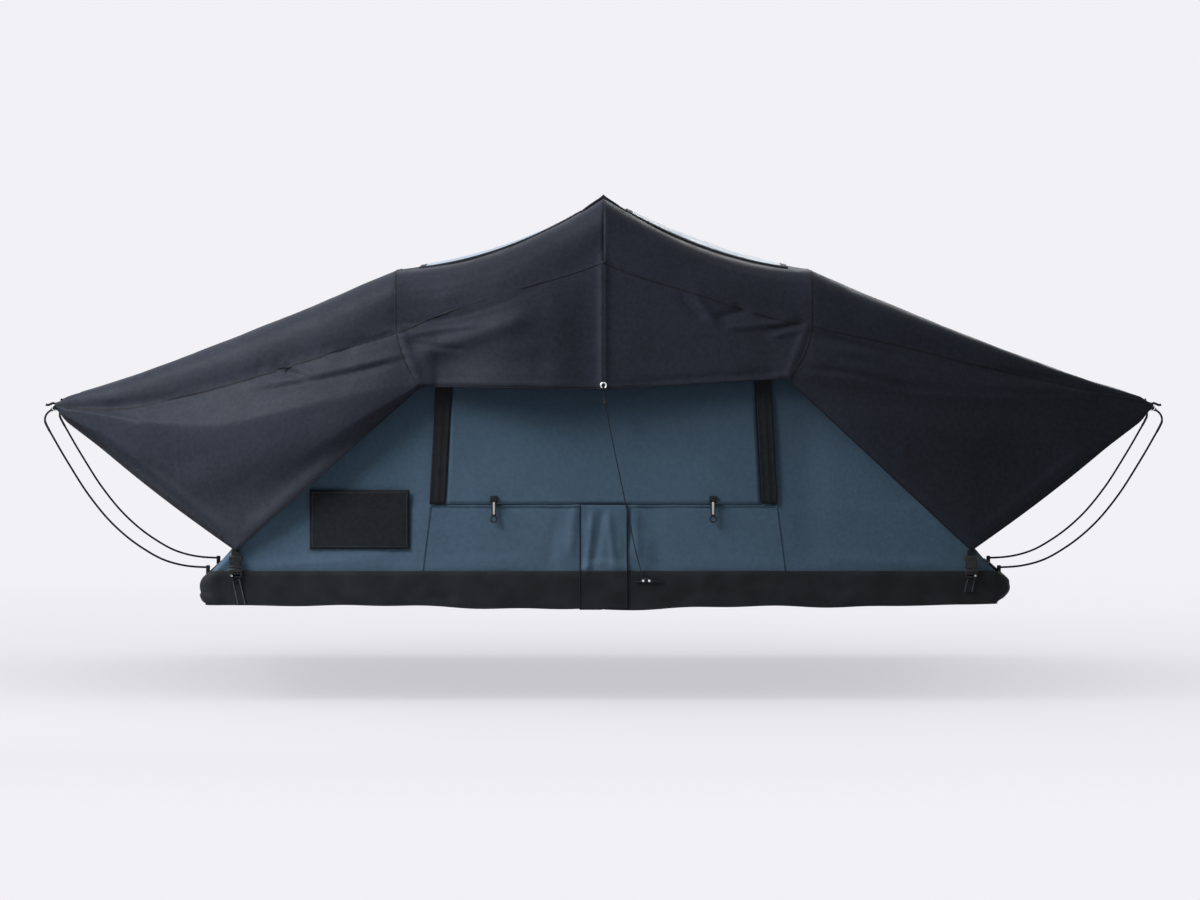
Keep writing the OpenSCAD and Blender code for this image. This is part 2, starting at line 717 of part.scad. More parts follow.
// Pull tabs
tab_pin_r = 2;
tab_eye_r = 4.2;
tab_w = 14;
tab_lug_t = 3;
tab_t = 3;
tab_ring_r = 9;
tab_ring_wire = 2.2;
tab_back = body_y + layer_gap + trim_t + seam;
tab_y = tab_back + tab_eye_r + over;
tab_z = window_z + 12;
module along_x(x, r, l) { translate([x, 0, 0]) rotate([0, 90, 0]) cylinder(r = r, h = l); }
module tab_anchor() {
    half = tab_w / 2 + stack_gap;
    lug_y = tab_y + tab_eye_r;
    color(c_black) translate([tab_x, 0, tab_z]) {
        translate([0, -tab_y, 0]) along_x(-half - tab_lug_t, tab_pin_r, 2 * (half + tab_lug_t));
        for (x = [-half - tab_lug_t, half])
            translate([x, -lug_y, -tab_eye_r]) cube([tab_lug_t, lug_y - tab_back, 2 * tab_eye_r]);
    }
}
module pull_tab() {
    color(c_black) translate([tab_x, -tab_y, tab_z]) difference() {
        union() {
            along_x(-tab_w / 2, tab_eye_r, tab_w);
            translate([-tab_w / 2, -tab_t / 2, -tab_l]) cube([tab_w, tab_t, tab_l]);
            translate([0, 0, -tab_l - tab_ring_r]) rotate([90, 0, 0])
                rotate_extrude() translate([tab_ring_r, 0]) circle(tab_ring_wire);
        }
        along_x(-tab_w, tab_pin_r + pin_clear, 2 * tab_w);
    }
}

// Guy line
eyelet_r = 10.5;
eyelet_hole = 5;
eyelet_t = 3;
eyelet_y = body_y + porch_out + layer_gap;
eyelet_z = porch_z + eyelet_r + layer_gap;
module porch_eyelet() {
    color(c_metal) translate([0, -eyelet_y, eyelet_z]) rotate([90, 0, 0]) difference() {
        cylinder(r = eyelet_r, h = eyelet_t);
        translate([0, 0, -over]) cylinder(r = eyelet_hole, h = eyelet_t + 2 * over);
    }
}
module guy_cord() { color(c_black) cord(guy_route, cord_d); }
module cord_lock() {
    along = unit(guy_route[lock_at + 1] - guy_route[lock_at - 1]);
    color(c_black) translate(guy_route[lock_at])
        rotate([0, acos(along[2]), atan2(along[1], along[0])]) difference() {
            cylinder(r = lock_r, h = lock_l, center = true);
            cylinder(r = cord_d / 2 + lock_clear, h = lock_l + 2 * over, center = true);
        }
}
module guy_hook() {
    at = guy_route[len(guy_route) - 1];
    color(c_metal) translate([at[0] - hook_l / 4, -front_y - layer_gap - hook_r, hook_z]) {
        along_x(0, hook_r, hook_l);
        rotate([0, -90, 0]) cylinder(r1 = hook_r, r2 = hook_r / 2, h = hook_r);
        translate([hook_l, 0, 0]) rotate([0, 90, 0]) cylinder(r1 = hook_r, r2 = hook_r / 2, h = hook_r);
    }
}

// Nodes
rail_mid = -end_x / 2;
module fixed_panel() { fixed_side() panel_half(); }
module fixed_frame() { fixed_side() frame_half(); }
module outer_mounting_rail() { mounting_rail(rail_mid - rail_pitch / 2); }
module inner_mounting_rail() { mounting_rail(rail_mid + rail_pitch / 2); }
module fixed_hinge_brackets() { fixed_side() front_and_rear() hinge_bracket(fixed_ear_y, fixed_inner_y); }
module hinge_pins() { front_and_rear() hinge_pin(); }
module hinge_nuts() { front_and_rear() hinge_nut(); }
module fixed_mattress() { fixed_side() mattress_half(); }
module fixed_skirt() { fixed_side() skirt_half(); }
module fixed_body() { fixed_side() body_half(); }
module fixed_fly() { fixed_side() fly_half(); }
module fixed_skylight() { fixed_side() skylight(); }
module fixed_door() { fixed_side() end_door(); }
module fixed_window_panels() { fixed_side() front_and_rear() window_panel(); }
module fixed_zip_strips() { fixed_side() front_and_rear() zip_strip(); }
module hinge_gussets() { front_and_rear() hinge_gusset(); }
module fixed_rod_sockets() { fixed_side() front_and_rear() rod_socket(); }
module fixed_corner_straps() { fixed_side() front_and_rear() corner_strap(); }
module fixed_buckle_sockets() { fixed_side() front_and_rear() buckle_socket(); }
module porch_eyelets() { front_and_rear() porch_eyelet(); }
module fixed_tab_anchor() { fixed_side() tab_anchor(); }
module fixed_tip_grommets() { fixed_side() front_and_rear() tip_grommet(); }
module folding_panel() { panel_half(); }
module folding_frame() { frame_half(); }
module folding_hinge_brackets() { front_and_rear() hinge_bracket(folding_ear_y, folding_inner_y); }
module folding_mattress() { mattress_half(); }
module folding_skirt() { skirt_half(); }
module folding_body() { body_half(); }
module folding_fly() { fly_half(); }
module folding_skylight() { skylight(); }
module folding_door() { end_door(); }
module folding_window_panels() { front_and_rear() window_panel(); }
module folding_zip_strips() { front_and_rear() zip_strip(); }
module folding_rod_sockets() { front_and_rear() rod_socket(); }
module folding_corner_straps() { front_and_rear() corner_strap(); }
module folding_buckle_sockets() { front_and_rear() buckle_socket(); }
module folding_tab_anchor() { tab_anchor(); }
module folding_tip_grommets() { front_and_rear() tip_grommet(); }
module left_bow() { bow(left_eye_y, side_bow_r, 180 - side_bow_angle); }
module left_bow_eyes() { bow_eyes(left_eye_y, 180 - side_bow_angle); }
module centre_bow() { bow(centre_eye_y, centre_bow_r, 90); }
module centre_bow_eyes() { bow_eyes(centre_eye_y, 90); }
module right_bow() { bow(right_eye_y, side_bow_r, side_bow_angle); }
module right_bow_eyes() { bow_eyes(right_eye_y, side_bow_angle); }
module left_rods() { fixed_side() front_and_rear() rod(); }
module left_rod_hooks() { fixed_side() front_and_rear() rod_hook(); }
module right_rods() { front_and_rear() rod(); }
module right_rod_hooks() { front_and_rear() rod_hook(); }
module buckle_prong_front_left() { fixed_side() buckle_prong(); }
module buckle_prong_front_right() { buckle_prong(); }
module buckle_prong_rear_left() { fixed_side() mirror([0, 1, 0]) buckle_prong(); }
module buckle_prong_rear_right() { mirror([0, 1, 0]) buckle_prong(); }
module pull_tab_left() { fixed_side() pull_tab(); }
module pull_tab_right() { pull_tab(); }

fixed_panel();
fixed_frame();
outer_mounting_rail();
inner_mounting_rail();
fixed_hinge_brackets();
hinge_pins();
hinge_nuts();
fixed_mattress();
fixed_skirt();
fixed_body();
fixed_fly();
fixed_skylight();
ridge_cap();
fixed_door();
fixed_window_panels();
fixed_zip_strips();
label_patch();
hinge_gussets();
fixed_rod_sockets();
fixed_corner_straps();
fixed_buckle_sockets();
porch_eyelets();
guy_cord();
cord_lock();
fixed_tab_anchor();
fixed_tip_grommets();
folding_panel();
folding_frame();
folding_hinge_brackets();
folding_mattress();
folding_skirt();
folding_body();
folding_fly();
folding_skylight();
folding_door();
folding_window_panels();
folding_zip_strips();
folding_rod_sockets();
folding_corner_straps();
folding_buckle_sockets();
folding_tab_anchor();
folding_tip_grommets();
guy_hook();
left_bow();
left_bow_eyes();
centre_bow();
centre_bow_eyes();
right_bow();
right_bow_eyes();
left_rods();
left_rod_hooks();
right_rods();
right_rod_hooks();
buckle_prong_front_left();
buckle_prong_front_right();
buckle_prong_rear_left();
buckle_prong_rear_right();
pull_tab_left();
pull_tab_right();
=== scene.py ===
"""Looks of a fold-out roof top tent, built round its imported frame.

The front is -Y, the folding half is +X, up is +Z, and sizes are in metres.
"""

import json
import logging
import math
from dataclasses import dataclass
from enum import Enum
from typing import Callable, Iterable, Sequence

import bmesh
import bpy
import numpy as np
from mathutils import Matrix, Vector, noise

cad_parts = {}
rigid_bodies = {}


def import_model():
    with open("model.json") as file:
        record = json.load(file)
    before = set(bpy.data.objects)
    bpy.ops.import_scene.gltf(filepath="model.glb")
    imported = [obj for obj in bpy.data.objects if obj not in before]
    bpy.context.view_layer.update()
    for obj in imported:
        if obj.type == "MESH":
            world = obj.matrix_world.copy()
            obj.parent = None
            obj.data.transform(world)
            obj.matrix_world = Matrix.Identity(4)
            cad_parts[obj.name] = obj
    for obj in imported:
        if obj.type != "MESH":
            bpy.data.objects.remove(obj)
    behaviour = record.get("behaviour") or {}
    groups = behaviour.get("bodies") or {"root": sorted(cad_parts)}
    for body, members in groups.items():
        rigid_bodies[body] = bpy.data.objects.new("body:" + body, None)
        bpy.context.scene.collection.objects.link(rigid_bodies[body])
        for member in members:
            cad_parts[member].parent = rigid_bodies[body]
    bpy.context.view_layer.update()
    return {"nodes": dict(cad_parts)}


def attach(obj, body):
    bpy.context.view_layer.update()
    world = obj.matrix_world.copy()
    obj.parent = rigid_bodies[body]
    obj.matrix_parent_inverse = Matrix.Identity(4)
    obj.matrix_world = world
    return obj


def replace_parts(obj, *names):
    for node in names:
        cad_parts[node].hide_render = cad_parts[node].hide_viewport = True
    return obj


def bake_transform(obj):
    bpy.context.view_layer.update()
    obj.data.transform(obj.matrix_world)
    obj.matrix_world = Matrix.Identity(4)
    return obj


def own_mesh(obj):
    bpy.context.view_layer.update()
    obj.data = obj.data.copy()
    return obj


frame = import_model()
LOG = logging.getLogger("tent")
Array = np.ndarray
Point = Sequence[float]
Pair = tuple[float, float]
Triple = tuple[float, float, float]
Piece = bpy.types.Object
Work = bmesh.types.BMesh
Socket = bpy.types.NodeSocket


class Side(Enum):
    """A half of the tent, by the sign of its X."""

    FIXED = -1
    FOLDING = 1

    @property
    def word(self) -> str:
        """The half's word in node names."""
        return "fixed" if self is Side.FIXED else "folding"

    @property
    def base(self) -> str:
        """The body of this half's base."""
        return f"{self.word}_base"

    @property
    def awning(self) -> str:
        """The body of this half's awning rods."""
        return f"{self.hand}_awning"

    @property
    def hand(self) -> str:
        """The half's hand, seen from the front."""
        return "left" if self is Side.FIXED else "right"

    @property
    def flip(self) -> bool:
        """Whether faces made for the folding half are turned over here."""
        return self is Side.FIXED


class Face(Enum):
    """A long wall of the tent, by the sign of its Y."""

    FRONT = -1
    REAR = 1

    @property
    def word(self) -> str:
        """The wall's word in piece names."""
        return self.name.lower()

    @property
    def flip(self) -> bool:
        """Whether faces made for the front are turned over here."""
        return self is Face.REAR


# Small sums


def mix(a: Array | float, b: Array | float, share: Array | float) -> Array | float:
    """Blend two values: a at share 0, b at share 1."""
    return a + (b - a) * share


def ease(low: float, high: float, x: Array | float) -> Array:
    """Rise smoothly from 0 at low to 1 at high."""
    t = np.clip((np.asarray(x, float) - low) / (high - low), 0.0, 1.0)
    return t * t * (3.0 - 2.0 * t)


def ripple(points: Array, pitch: float, seed: float) -> Array:
    """Read a smooth noise from about -1 to 1, with bumps about pitch apart, at many points."""
    values = [noise.noise(Vector(p)) for p in points.reshape(-1, 3) / pitch + seed]
    return np.array(values).reshape(points.shape[:-1])


def places(x: Array | float, y: Array | float, z: Array | float) -> Array:
    """Join coordinates into points."""
    return np.stack(np.broadcast_arrays(x, y, z), axis=-1)


# Mesh building


def new_object(name: str, mesh: bpy.types.Mesh, finish: "Finish") -> Piece:
    """Put a mesh in the scene.

    Args:
        name: the piece's name.
        mesh: its mesh.
        finish: what it is made of.

    Returns:
        The new object, shaded smooth.
    """
    mesh.materials.append(finish.material())
    mesh.polygons.foreach_set("use_smooth", [True] * len(mesh.polygons))
    obj = bpy.data.objects.new(name, mesh)
    bpy.context.scene.collection.objects.link(obj)
    return obj


def run_length(points: Array) -> Array:
    """Measure the way from the first of a row of points to each."""
    steps = np.linalg.norm(np.diff(points, axis=0), axis=1)
    return np.concatenate([[0.0], np.cumsum(steps)])


def even_path(marks: Sequence[Point], count: int) -> Array:
    """Walk along marked points in even steps.

    Args:
        marks: the points, in order.
        count: how many points to place.

    Returns:
        The points along the way, one to a row.
    """
    line = np.array(marks)
    at = run_length(line)
    steps = np.linspace(0.0, at[-1], count)
    return np.stack([np.interp(steps, at, column) for column in line.T], axis=-1)


def over_both(half: Callable[[Face], Array]) -> Array:
    """Join the front half of a section to its rear half, each placed from its hem to the middle."""
    front, rear = half(Face.FRONT), half(Face.REAR)
    return np.concatenate([front, rear[..., -2::-1, :]], axis=-2)


def grid_object(name: str, points: Array, finish: "Finish", flip: bool = False,
                ring: bool = False) -> Piece:
    """Make a sheet from a grid of points, with texture coordinates in metres.

    Args:
        name: the piece's name.
        points: the grid, as rows by columns by three.
        finish: what it is made of.
        flip: turns the faces over.
        ring: joins the last column to the first.

    Returns:
        The new object.
    """
    rows, cols = points.shape[:2]
    spans = cols if ring else cols - 1
    i, j = np.meshgrid(np.arange(rows - 1), np.arange(spans), indexing="ij")
    k = (j + 1) % cols
    here, after = i * cols, (i + 1) * cols
    quads = np.stack([here + j, after + j, after + k, here + k], axis=-1)
    along = run_length(points[:, cols // 2])
    middle = points[rows // 2]
    across = run_length(np.concatenate([middle, middle[:1]]) if ring else middle)
    corner = np.stack([np.stack([along[i + down], across[j + over]], axis=-1)
                       for down, over in ((0, 0), (1, 0), (1, 1), (0, 1))], axis=-2)
    quads, corner = quads.reshape(-1, 4), corner.reshape(-1, 4, 2)
    if flip:
        quads, corner = quads[:, ::-1], corner[:, ::-1]
    mesh = bpy.data.meshes.new(name)
    mesh.from_pydata(points.reshape(-1, 3).tolist(), [], quads.tolist())
    layer = mesh.uv_layers.new(name="cloth")
    layer.data.foreach_set("uv", corner.reshape(-1).astype(np.float32))
    return new_object(name, mesh, finish)


def tube_object(name: str, path: Array, radius: float, finish: "Finish", sides: int = 8) -> Piece:
    """Make a round tube along a path, with closed ends.

    Args:
        name: the piece's name.
        path: points down its middle.
        radius: half its thickness.
        finish: what it is made of.
        sides: faces round it.

    Returns:
        The new object.
    """
    along = np.gradient(path, axis=0)
    along /= np.linalg.norm(along, axis=1, keepdims=True)
    guide = np.array([0.0, 1.0, 0.0]) if abs(along[0, 1]) < 0.9 else np.array([0.0, 0.0, 1.0])
    u = np.cross(np.broadcast_to(guide, along.shape), along)
    u /= np.linalg.norm(u, axis=1, keepdims=True)
    v = np.cross(along, u)
    turn = np.linspace(0.0, 2.0 * math.pi, sides, endpoint=False)
    rings = path[:, None] + radius * (np.cos(turn)[None, :, None] * u[:, None]
                                      + np.sin(turn)[None, :, None] * v[:, None])
    ends = [np.repeat(path[k:k + 1, None], sides, axis=1) for k in (0, -1)]
    obj = grid_object(name, np.concatenate([ends[0], rings, ends[1]]), finish, ring=True)
    weld(obj, 1e-6)
    return obj


def weld(obj: Piece, within: float) -> None:
    """Join points of a mesh that lie together, and make its faces point outwards.

    Args:
        obj: the object.
        within: how near two points are to be one.
    """
    work = bmesh.new()
    work.from_mesh(obj.data)
    bmesh.ops.remove_doubles(work, verts=work.verts, dist=within)
    bmesh.ops.recalc_face_normals(work, faces=work.faces)
    work.to_mesh(obj.data)
    work.free()


def thicken(obj: Piece, thickness: float, offset: float = -1.0) -> Piece:
    """Give a sheet its thickness.

    Args:
        obj: the sheet.
        thickness: how thick the cloth is.
        offset: -1 grows it behind its face, 1 in front.

    Returns:
        The same object.
    """
    solid = obj.modifiers.new("thickness", "SOLIDIFY")
    solid.thickness = thickness
    solid.offset = offset
    solid.use_even_offset = False
    return obj


def block(work: Work, low: Point, high: Point, round_off: float, segments: int = 2) -> None:
    """Add a block with rounded edges to a mesh in progress.

    Args:
        work: the mesh.
        low: the block's lowest corner.
        high: its highest corner.
        round_off: radius of its edges.
        segments: faces round each edge.
    """
    made = bmesh.ops.create_cube(work, size=1.0)["verts"]
    size, centre = Vector(high) - Vector(low), (Vector(high) + Vector(low)) / 2
    for vert in made:
        vert.co = Vector([c * s for c, s in zip(vert.co, size)]) + centre
    edges = list(dict.fromkeys(edge for vert in made for edge in vert.link_edges))
    bmesh.ops.bevel(work, geom=edges, offset=min(round_off, 0.45 * min(size)), segments=segments,
                    profile=0.5, affect="EDGES", clamp_overlap=True)


def hoop(work: Work, centre: Point, radius: float, wire: float, stretch: float = 1.0,
         turns: int = 32, sides: int = 10) -> None:
    """Add a wire ring in the XZ plane to a mesh in progress.

    Args:
        work: the mesh.
        centre: the ring's middle.
        radius: radius of the ring, to the middle of its wire.
        wire: radius of its wire.
        stretch: the ring's height over its width.
        turns: steps round the ring.
        sides: faces round the wire.
    """
    rings = []
    for t in np.linspace(0.0, 2.0 * math.pi, turns, endpoint=False):
        out = Vector((math.cos(t), 0.0, math.sin(t)))
        middle = Vector(centre) + Vector((radius * out.x, 0.0, radius * stretch * out.z))
        rings.append([
            work.verts.new(middle + wire * (math.cos(a) * out + math.sin(a) * Vector((0, 1, 0))))
            for a in np.linspace(0.0, 2.0 * math.pi, sides, endpoint=False)])
    for i, ring in enumerate(rings):
        after = rings[(i + 1) % turns]
        for k in range(sides):
            work.faces.new((ring[k], ring[(k + 1) % sides], after[(k + 1) % sides], after[k]))


def bmesh_object(name: str, finish: "Finish", build: Callable[[Work], None]) -> Piece:
    """Make an object from a function that fills a mesh.

    Args:
        name: the piece's name.
        finish: what it is made of.
        build: fills the mesh.

    Returns:
        The new object.
    """
    work = bmesh.new()
    build(work)
    bmesh.ops.recalc_face_normals(work, faces=work.faces)
    mesh = bpy.data.meshes.new(name)
    work.to_mesh(mesh)
    work.free()
    return new_object(name, mesh, finish)


# Finishes


def linear(code: str) -> tuple[float, float, float, float]:
    """Turn a written colour into the renderer's linear values.

    Args:
        code: six hex digits.

    Returns:
        Red, green, blue and full cover.
    """
    parts = [int(code[k:k + 2], 16) / 255.0 for k in (0, 2, 4)]
    red, green, blue = [p / 12.92 if p <= 0.04045 else ((p + 0.055) / 1.055) ** 2.4 for p in parts]
    return red, green, blue, 1.0


# Distance between the bands of a wave texture whose scale is 1
WAVE_PITCH = 0.31416


class Nodes:
    """The node tree of one material in progress."""

    def __init__(self, name: str) -> None:
        """Start a material.

        Args:
            name: the material's name.
        """
        self.material = bpy.data.materials.new(name)
        self.material.use_nodes = True
        self.tree = self.material.node_tree
        self.surface = self.tree.nodes["Principled BSDF"]
        self.coords = self.tree.nodes.new("ShaderNodeTexCoord")

    def add(self, kind: str, values: dict[str | int, object] | None = None,
            **settings: object) -> bpy.types.Node:
        """Add a node.

        Args:
            kind: the node's type, without its Shader prefix.
            values: constants for its sockets, or the sockets that feed them.
            settings: its own settings.

        Returns:
            The new node.
        """
        node = self.tree.nodes.new("ShaderNode" + kind)
        for key, value in settings.items():
            setattr(node, key, value)
        for key, value in (values or {}).items():
            if isinstance(value, Socket):
                self.link(value, node.inputs[key])
            else:
                node.inputs[key].default_value = value
        return node

    def link(self, source: Socket, target: Socket) -> None:
        """Join one socket to another."""
        self.tree.links.new(source, target)

    def cloud(self, pitch: float, detail: float = 3.0, stretch: Point = (1, 1, 1)) -> Socket:
        """Read a noise with bumps about pitch apart, in the object's own metres."""
        spread = self.add("Mapping", {"Vector": self.coords.outputs["Object"],
                                      "Scale": tuple(stretch)})
        return self.add("TexNoise", {"Vector": spread.outputs["Vector"], "Scale": 1.0 / pitch,
                                     "Detail": detail, "Roughness": 0.55}).outputs["Fac"]

    def threads(self, pitch: float, direction: str) -> Socket:
        """Read the height of threads a pitch apart, counted along X or Y of the cloth."""
        values = {"Vector": self.coords.outputs["UV"], "Scale": WAVE_PITCH / pitch,
                  "Distortion": 0.4, "Detail": 1.0, "Detail Scale": 2.0}
        return self.add("TexWave", values, bands_direction=direction).outputs["Fac"]

    def join(self, a: Socket, b: Socket | float, how: str) -> Socket:
        """Join two values with a sum, a product and so on."""
        return self.add("Math", {0: a, 1: b}, operation=how).outputs["Value"]

    def colour(self, fac: Socket, low: str, high: str, start: float = 0.35,
               stop: float = 0.65) -> None:
        """Run the base colour between two written colours.

        Args:
            fac: what drives it.
            low: colour at and under start.
            high: colour at and over stop.
            start: where the run starts.
            stop: where it ends.
        """
        ramp = self.add("ValToRGB", {"Fac": fac})
        ends = ramp.color_ramp.elements
        ends[0].position, ends[0].color = start, linear(low)
        ends[1].position, ends[1].color = stop, linear(high)
        self.link(ramp.outputs["Color"], self.surface.inputs["Base Color"])

    def roughness(self, fac: Socket, low: float, high: float) -> None:
        """Run the roughness between two values."""
        spread = self.add("MapRange", {"Value": fac, "From Min": 0.3, "From Max": 0.7,
                                       "To Min": low, "To Max": high})
        self.link(spread.outputs["Result"], self.surface.inputs["Roughness"])

    def bump(self, height: Socket, distance: float, strength: float) -> None:
        """Raise the surface by a height, over any bump it has.

        Args:
            height: what raises it.
            distance: how far, in metres.
            strength: how much of that shows.
        """
        made = self.add("Bump", {"Height": height, "Distance": distance, "Strength": strength})
        under = self.surface.inputs["Normal"]
        if under.is_linked:
            self.link(under.links[0].from_socket, made.inputs["Normal"])
        self.link(made.outputs["Normal"], under)

    def plain(self, **values: float) -> None:
        """Set constants on the surface, by their names with underscores."""
        for key, value in values.items():
            socket = key.replace("_", " ").title().replace("Ior", "IOR")
            self.surface.inputs[socket].default_value = value


@dataclass(frozen=True)
class Finish:
    """A procedural finish, shared by the pieces made of it."""

    name: str
    slot: str
    low: str
    high: str
    rough: float = 0.6

    def material(self) -> bpy.types.Material:
        """Give the finish's material, building it the first time.

        Returns:
            The material.
        """
        made = bpy.data.materials.get(self.name)
        if made:
            return made
        nodes = Nodes(self.name)
        self.build(nodes)
        return nodes.material

    def build(self, nodes: Nodes) -> None:
        """Fill the material's nodes."""
        nodes.colour(nodes.cloud(0.15), self.low, self.high)
        nodes.roughness(nodes.cloud(0.03), self.rough - 0.06, self.rough + 0.06)


@dataclass(frozen=True)
class Cloth(Finish):
    """Woven cloth, with threads both ways and faint wear."""

    pitch: float = 0.0016
    relief: float = 0.35
    gloss: float = 0.15

    def build(self, nodes: Nodes) -> None:
        """Weave the cloth.

        Args:
            nodes: the material in progress.
        """
        patchy = nodes.join(nodes.cloud(0.35, 4.0), nodes.cloud(0.012, 2.0), "ADD")
        nodes.colour(nodes.join(patchy, 0.5, "MULTIPLY"), self.low, self.high)
        nodes.roughness(nodes.cloud(0.05), self.rough - 0.05, self.rough + 0.05)
        warp, weft = nodes.threads(self.pitch, "X"), nodes.threads(self.pitch, "Y")
        nodes.bump(nodes.join(warp, weft, "MULTIPLY"), 0.0003, self.relief)
        nodes.bump(nodes.cloud(0.025, 3.0), 0.0012, 0.35)
        nodes.plain(specular_ior_level=self.gloss)


@dataclass(frozen=True)
class Canvas(Cloth):
    """Body canvas with painted shade: darker towards its top, standing in for the porch's shadow.
    """

    # Painted shade: the colour the canvas darkens to, the heights over which it comes in, and how
    # much of it shows.
    deep: str = "2b3844"
    bleached: float = 0.38
    covered: float = 0.66
    share: float = 0.45

    def build(self, nodes: Nodes) -> None:
        """Weave the canvas and paint the porch's shadow over its upper part.

        Args:
            nodes: the material in progress.
        """
        super().build(nodes)
        # Painted shade: the colour mixes towards the shade colour with height, in place of the
        # porch's shadow on the wall.
        base = nodes.surface.inputs["Base Color"]
        place = nodes.add("SeparateXYZ", {"Vector": nodes.coords.outputs["Object"]})
        rise = nodes.add("MapRange", {"Value": place.outputs["Z"], "From Min": self.bleached,
                                      "From Max": self.covered, "To Max": self.share},
                         interpolation_type="SMOOTHSTEP")
        fade = nodes.add("MixRGB", {"Fac": rise.outputs["Result"], "Color2": linear(self.deep),
                                    "Color1": base.links[0].from_socket})
        nodes.link(fade.outputs["Color"], base)


@dataclass(frozen=True)
class Webbing(Finish):
    """Ribbed strap, with painted shade between its ribs."""

    pitch: float = 0.0022

    def build(self, nodes: Nodes) -> None:
        """Rib the strap.

        Args:
            nodes: the material in progress.
        """
        ribs = nodes.threads(self.pitch, "X")
        # Painted shade: darker between the ribs, times a fine noise for random tone.
        rib_shade_and_tone = nodes.join(ribs, nodes.cloud(0.01), "MULTIPLY")
        nodes.colour(rib_shade_and_tone, self.low, self.high, 0.05, 0.6)
        nodes.roughness(nodes.cloud(0.02), self.rough - 0.05, self.rough + 0.05)
        nodes.bump(ribs, 0.0005, 0.6)
        nodes.bump(nodes.threads(self.pitch / 2, "Y"), 0.0002, 0.3)
        nodes.plain(specular_ior_level=0.15)


@dataclass(frozen=True)
class Moulded(Finish):
    """Moulded plastic or coated sheet, with a fine grain."""

    grain: float = 0.0025
    relief: float = 0.25
    gloss: float = 0.3

    def build(self, nodes: Nodes) -> None:
        """Grain the plastic.

        Args:
            nodes: the material in progress.
        """
        nodes.colour(nodes.cloud(0.08, 4.0), self.low, self.high)
        nodes.roughness(nodes.cloud(0.02), self.rough - 0.08, self.rough + 0.08)
        nodes.bump(nodes.cloud(self.grain, 2.0), 0.0004, self.relief)
        nodes.plain(specular_ior_level=self.gloss)


@dataclass(frozen=True)
class Metal(Finish):
    """Drawn or plated metal, with marks along one axis and dull patches."""

    stretch: Triple = (1.0, 0.04, 1.0)

    def build(self, nodes: Nodes) -> None:
        """Draw the metal.

        Args:
            nodes: the material in progress.
        """
        marks = nodes.cloud(0.002, 3.0, self.stretch)
        nodes.colour(nodes.cloud(0.06, 4.0), self.low, self.high)
        nodes.roughness(marks, self.rough - 0.08, self.rough + 0.1)
        nodes.bump(marks, 0.0002, 0.15)
        nodes.plain(metallic=1.0)


@dataclass(frozen=True)
class Vinyl(Finish):
    """Milky vinyl sheet, smooth with slow waves."""

    def build(self, nodes: Nodes) -> None:
        """Cast the sheet.

        Args:
            nodes: the material in progress.
        """
        nodes.colour(nodes.cloud(0.2), self.low, self.high)
        nodes.roughness(nodes.cloud(0.06), self.rough - 0.05, self.rough + 0.1)
        nodes.bump(nodes.cloud(0.08, 2.0), 0.002, 0.3)
        nodes.plain(specular_ior_level=0.15, coat_weight=0.06, coat_roughness=0.2)


def plain_view(tree: bpy.types.NodeTree) -> Socket:
    """Tell the rays that see the backdrop plainly from those that light the tent.

    Args:
        tree: the nodes to add to.

    Returns:
        The output that is 1 for rays seen directly, in a gloss or through glass.
    """
    path = tree.nodes.new("ShaderNodeLightPath")
    seen = path.outputs["Is Camera Ray"]
    for ray in ("Is Glossy Ray", "Is Transmission Ray"):
        either = tree.nodes.new("ShaderNodeMath")
        either.operation = "MAXIMUM"
        tree.links.new(seen, either.inputs[0])
        tree.links.new(path.outputs[ray], either.inputs[1])
        seen = either.outputs["Value"]
    return seen


@dataclass(frozen=True)
class Paper(Finish):
    """Studio paper, shaded near the tent and plainly its own colour further out."""

    seen: str = "f2f1f6"
    shadow: float = 0.67
    reach: float = 2.0
    glow: float = 0.93
    near: float = 2.4
    far: float = 6.5

    def build(self, nodes: Nodes) -> None:
        """Roll out the paper.

        Args:
            nodes: the material in progress.
        """
        super().build(nodes)
        away = nodes.add("VectorMath", {0: nodes.coords.outputs["Object"]}, operation="LENGTH")
        share = nodes.add("MapRange", {"Value": away.outputs["Value"], "From Min": self.near,
                                       "From Max": self.far, "To Min": self.glow, "To Max": 1.0},
                          interpolation_type="SMOOTHSTEP")
        under = nodes.add("AmbientOcclusion", {"Distance": self.reach}, samples=12)
        dim = nodes.add("MapRange", {"Value": under.outputs["AO"], "To Min": self.shadow})
        glow = nodes.add("Emission", {"Color": linear(self.seen),
                                      "Strength": dim.outputs["Result"]})
        shown = nodes.join(share.outputs["Result"], plain_view(nodes.tree), "MULTIPLY")
        blend = nodes.add("MixShader", {"Fac": shown, 1: nodes.surface.outputs["BSDF"],
                                        2: glow.outputs["Emission"]})
        nodes.link(blend.outputs["Shader"], nodes.tree.nodes["Material Output"].inputs["Surface"])


FLY = Cloth("fly cloth", "fly_fabric", "23262d", "2c303a", 0.55, relief=0.22, gloss=0.06)
FLY_TRIM = Cloth("fly binding", "fly_fabric", "1b1d22", "24262c", 0.6, pitch=0.0009, gloss=0.08)
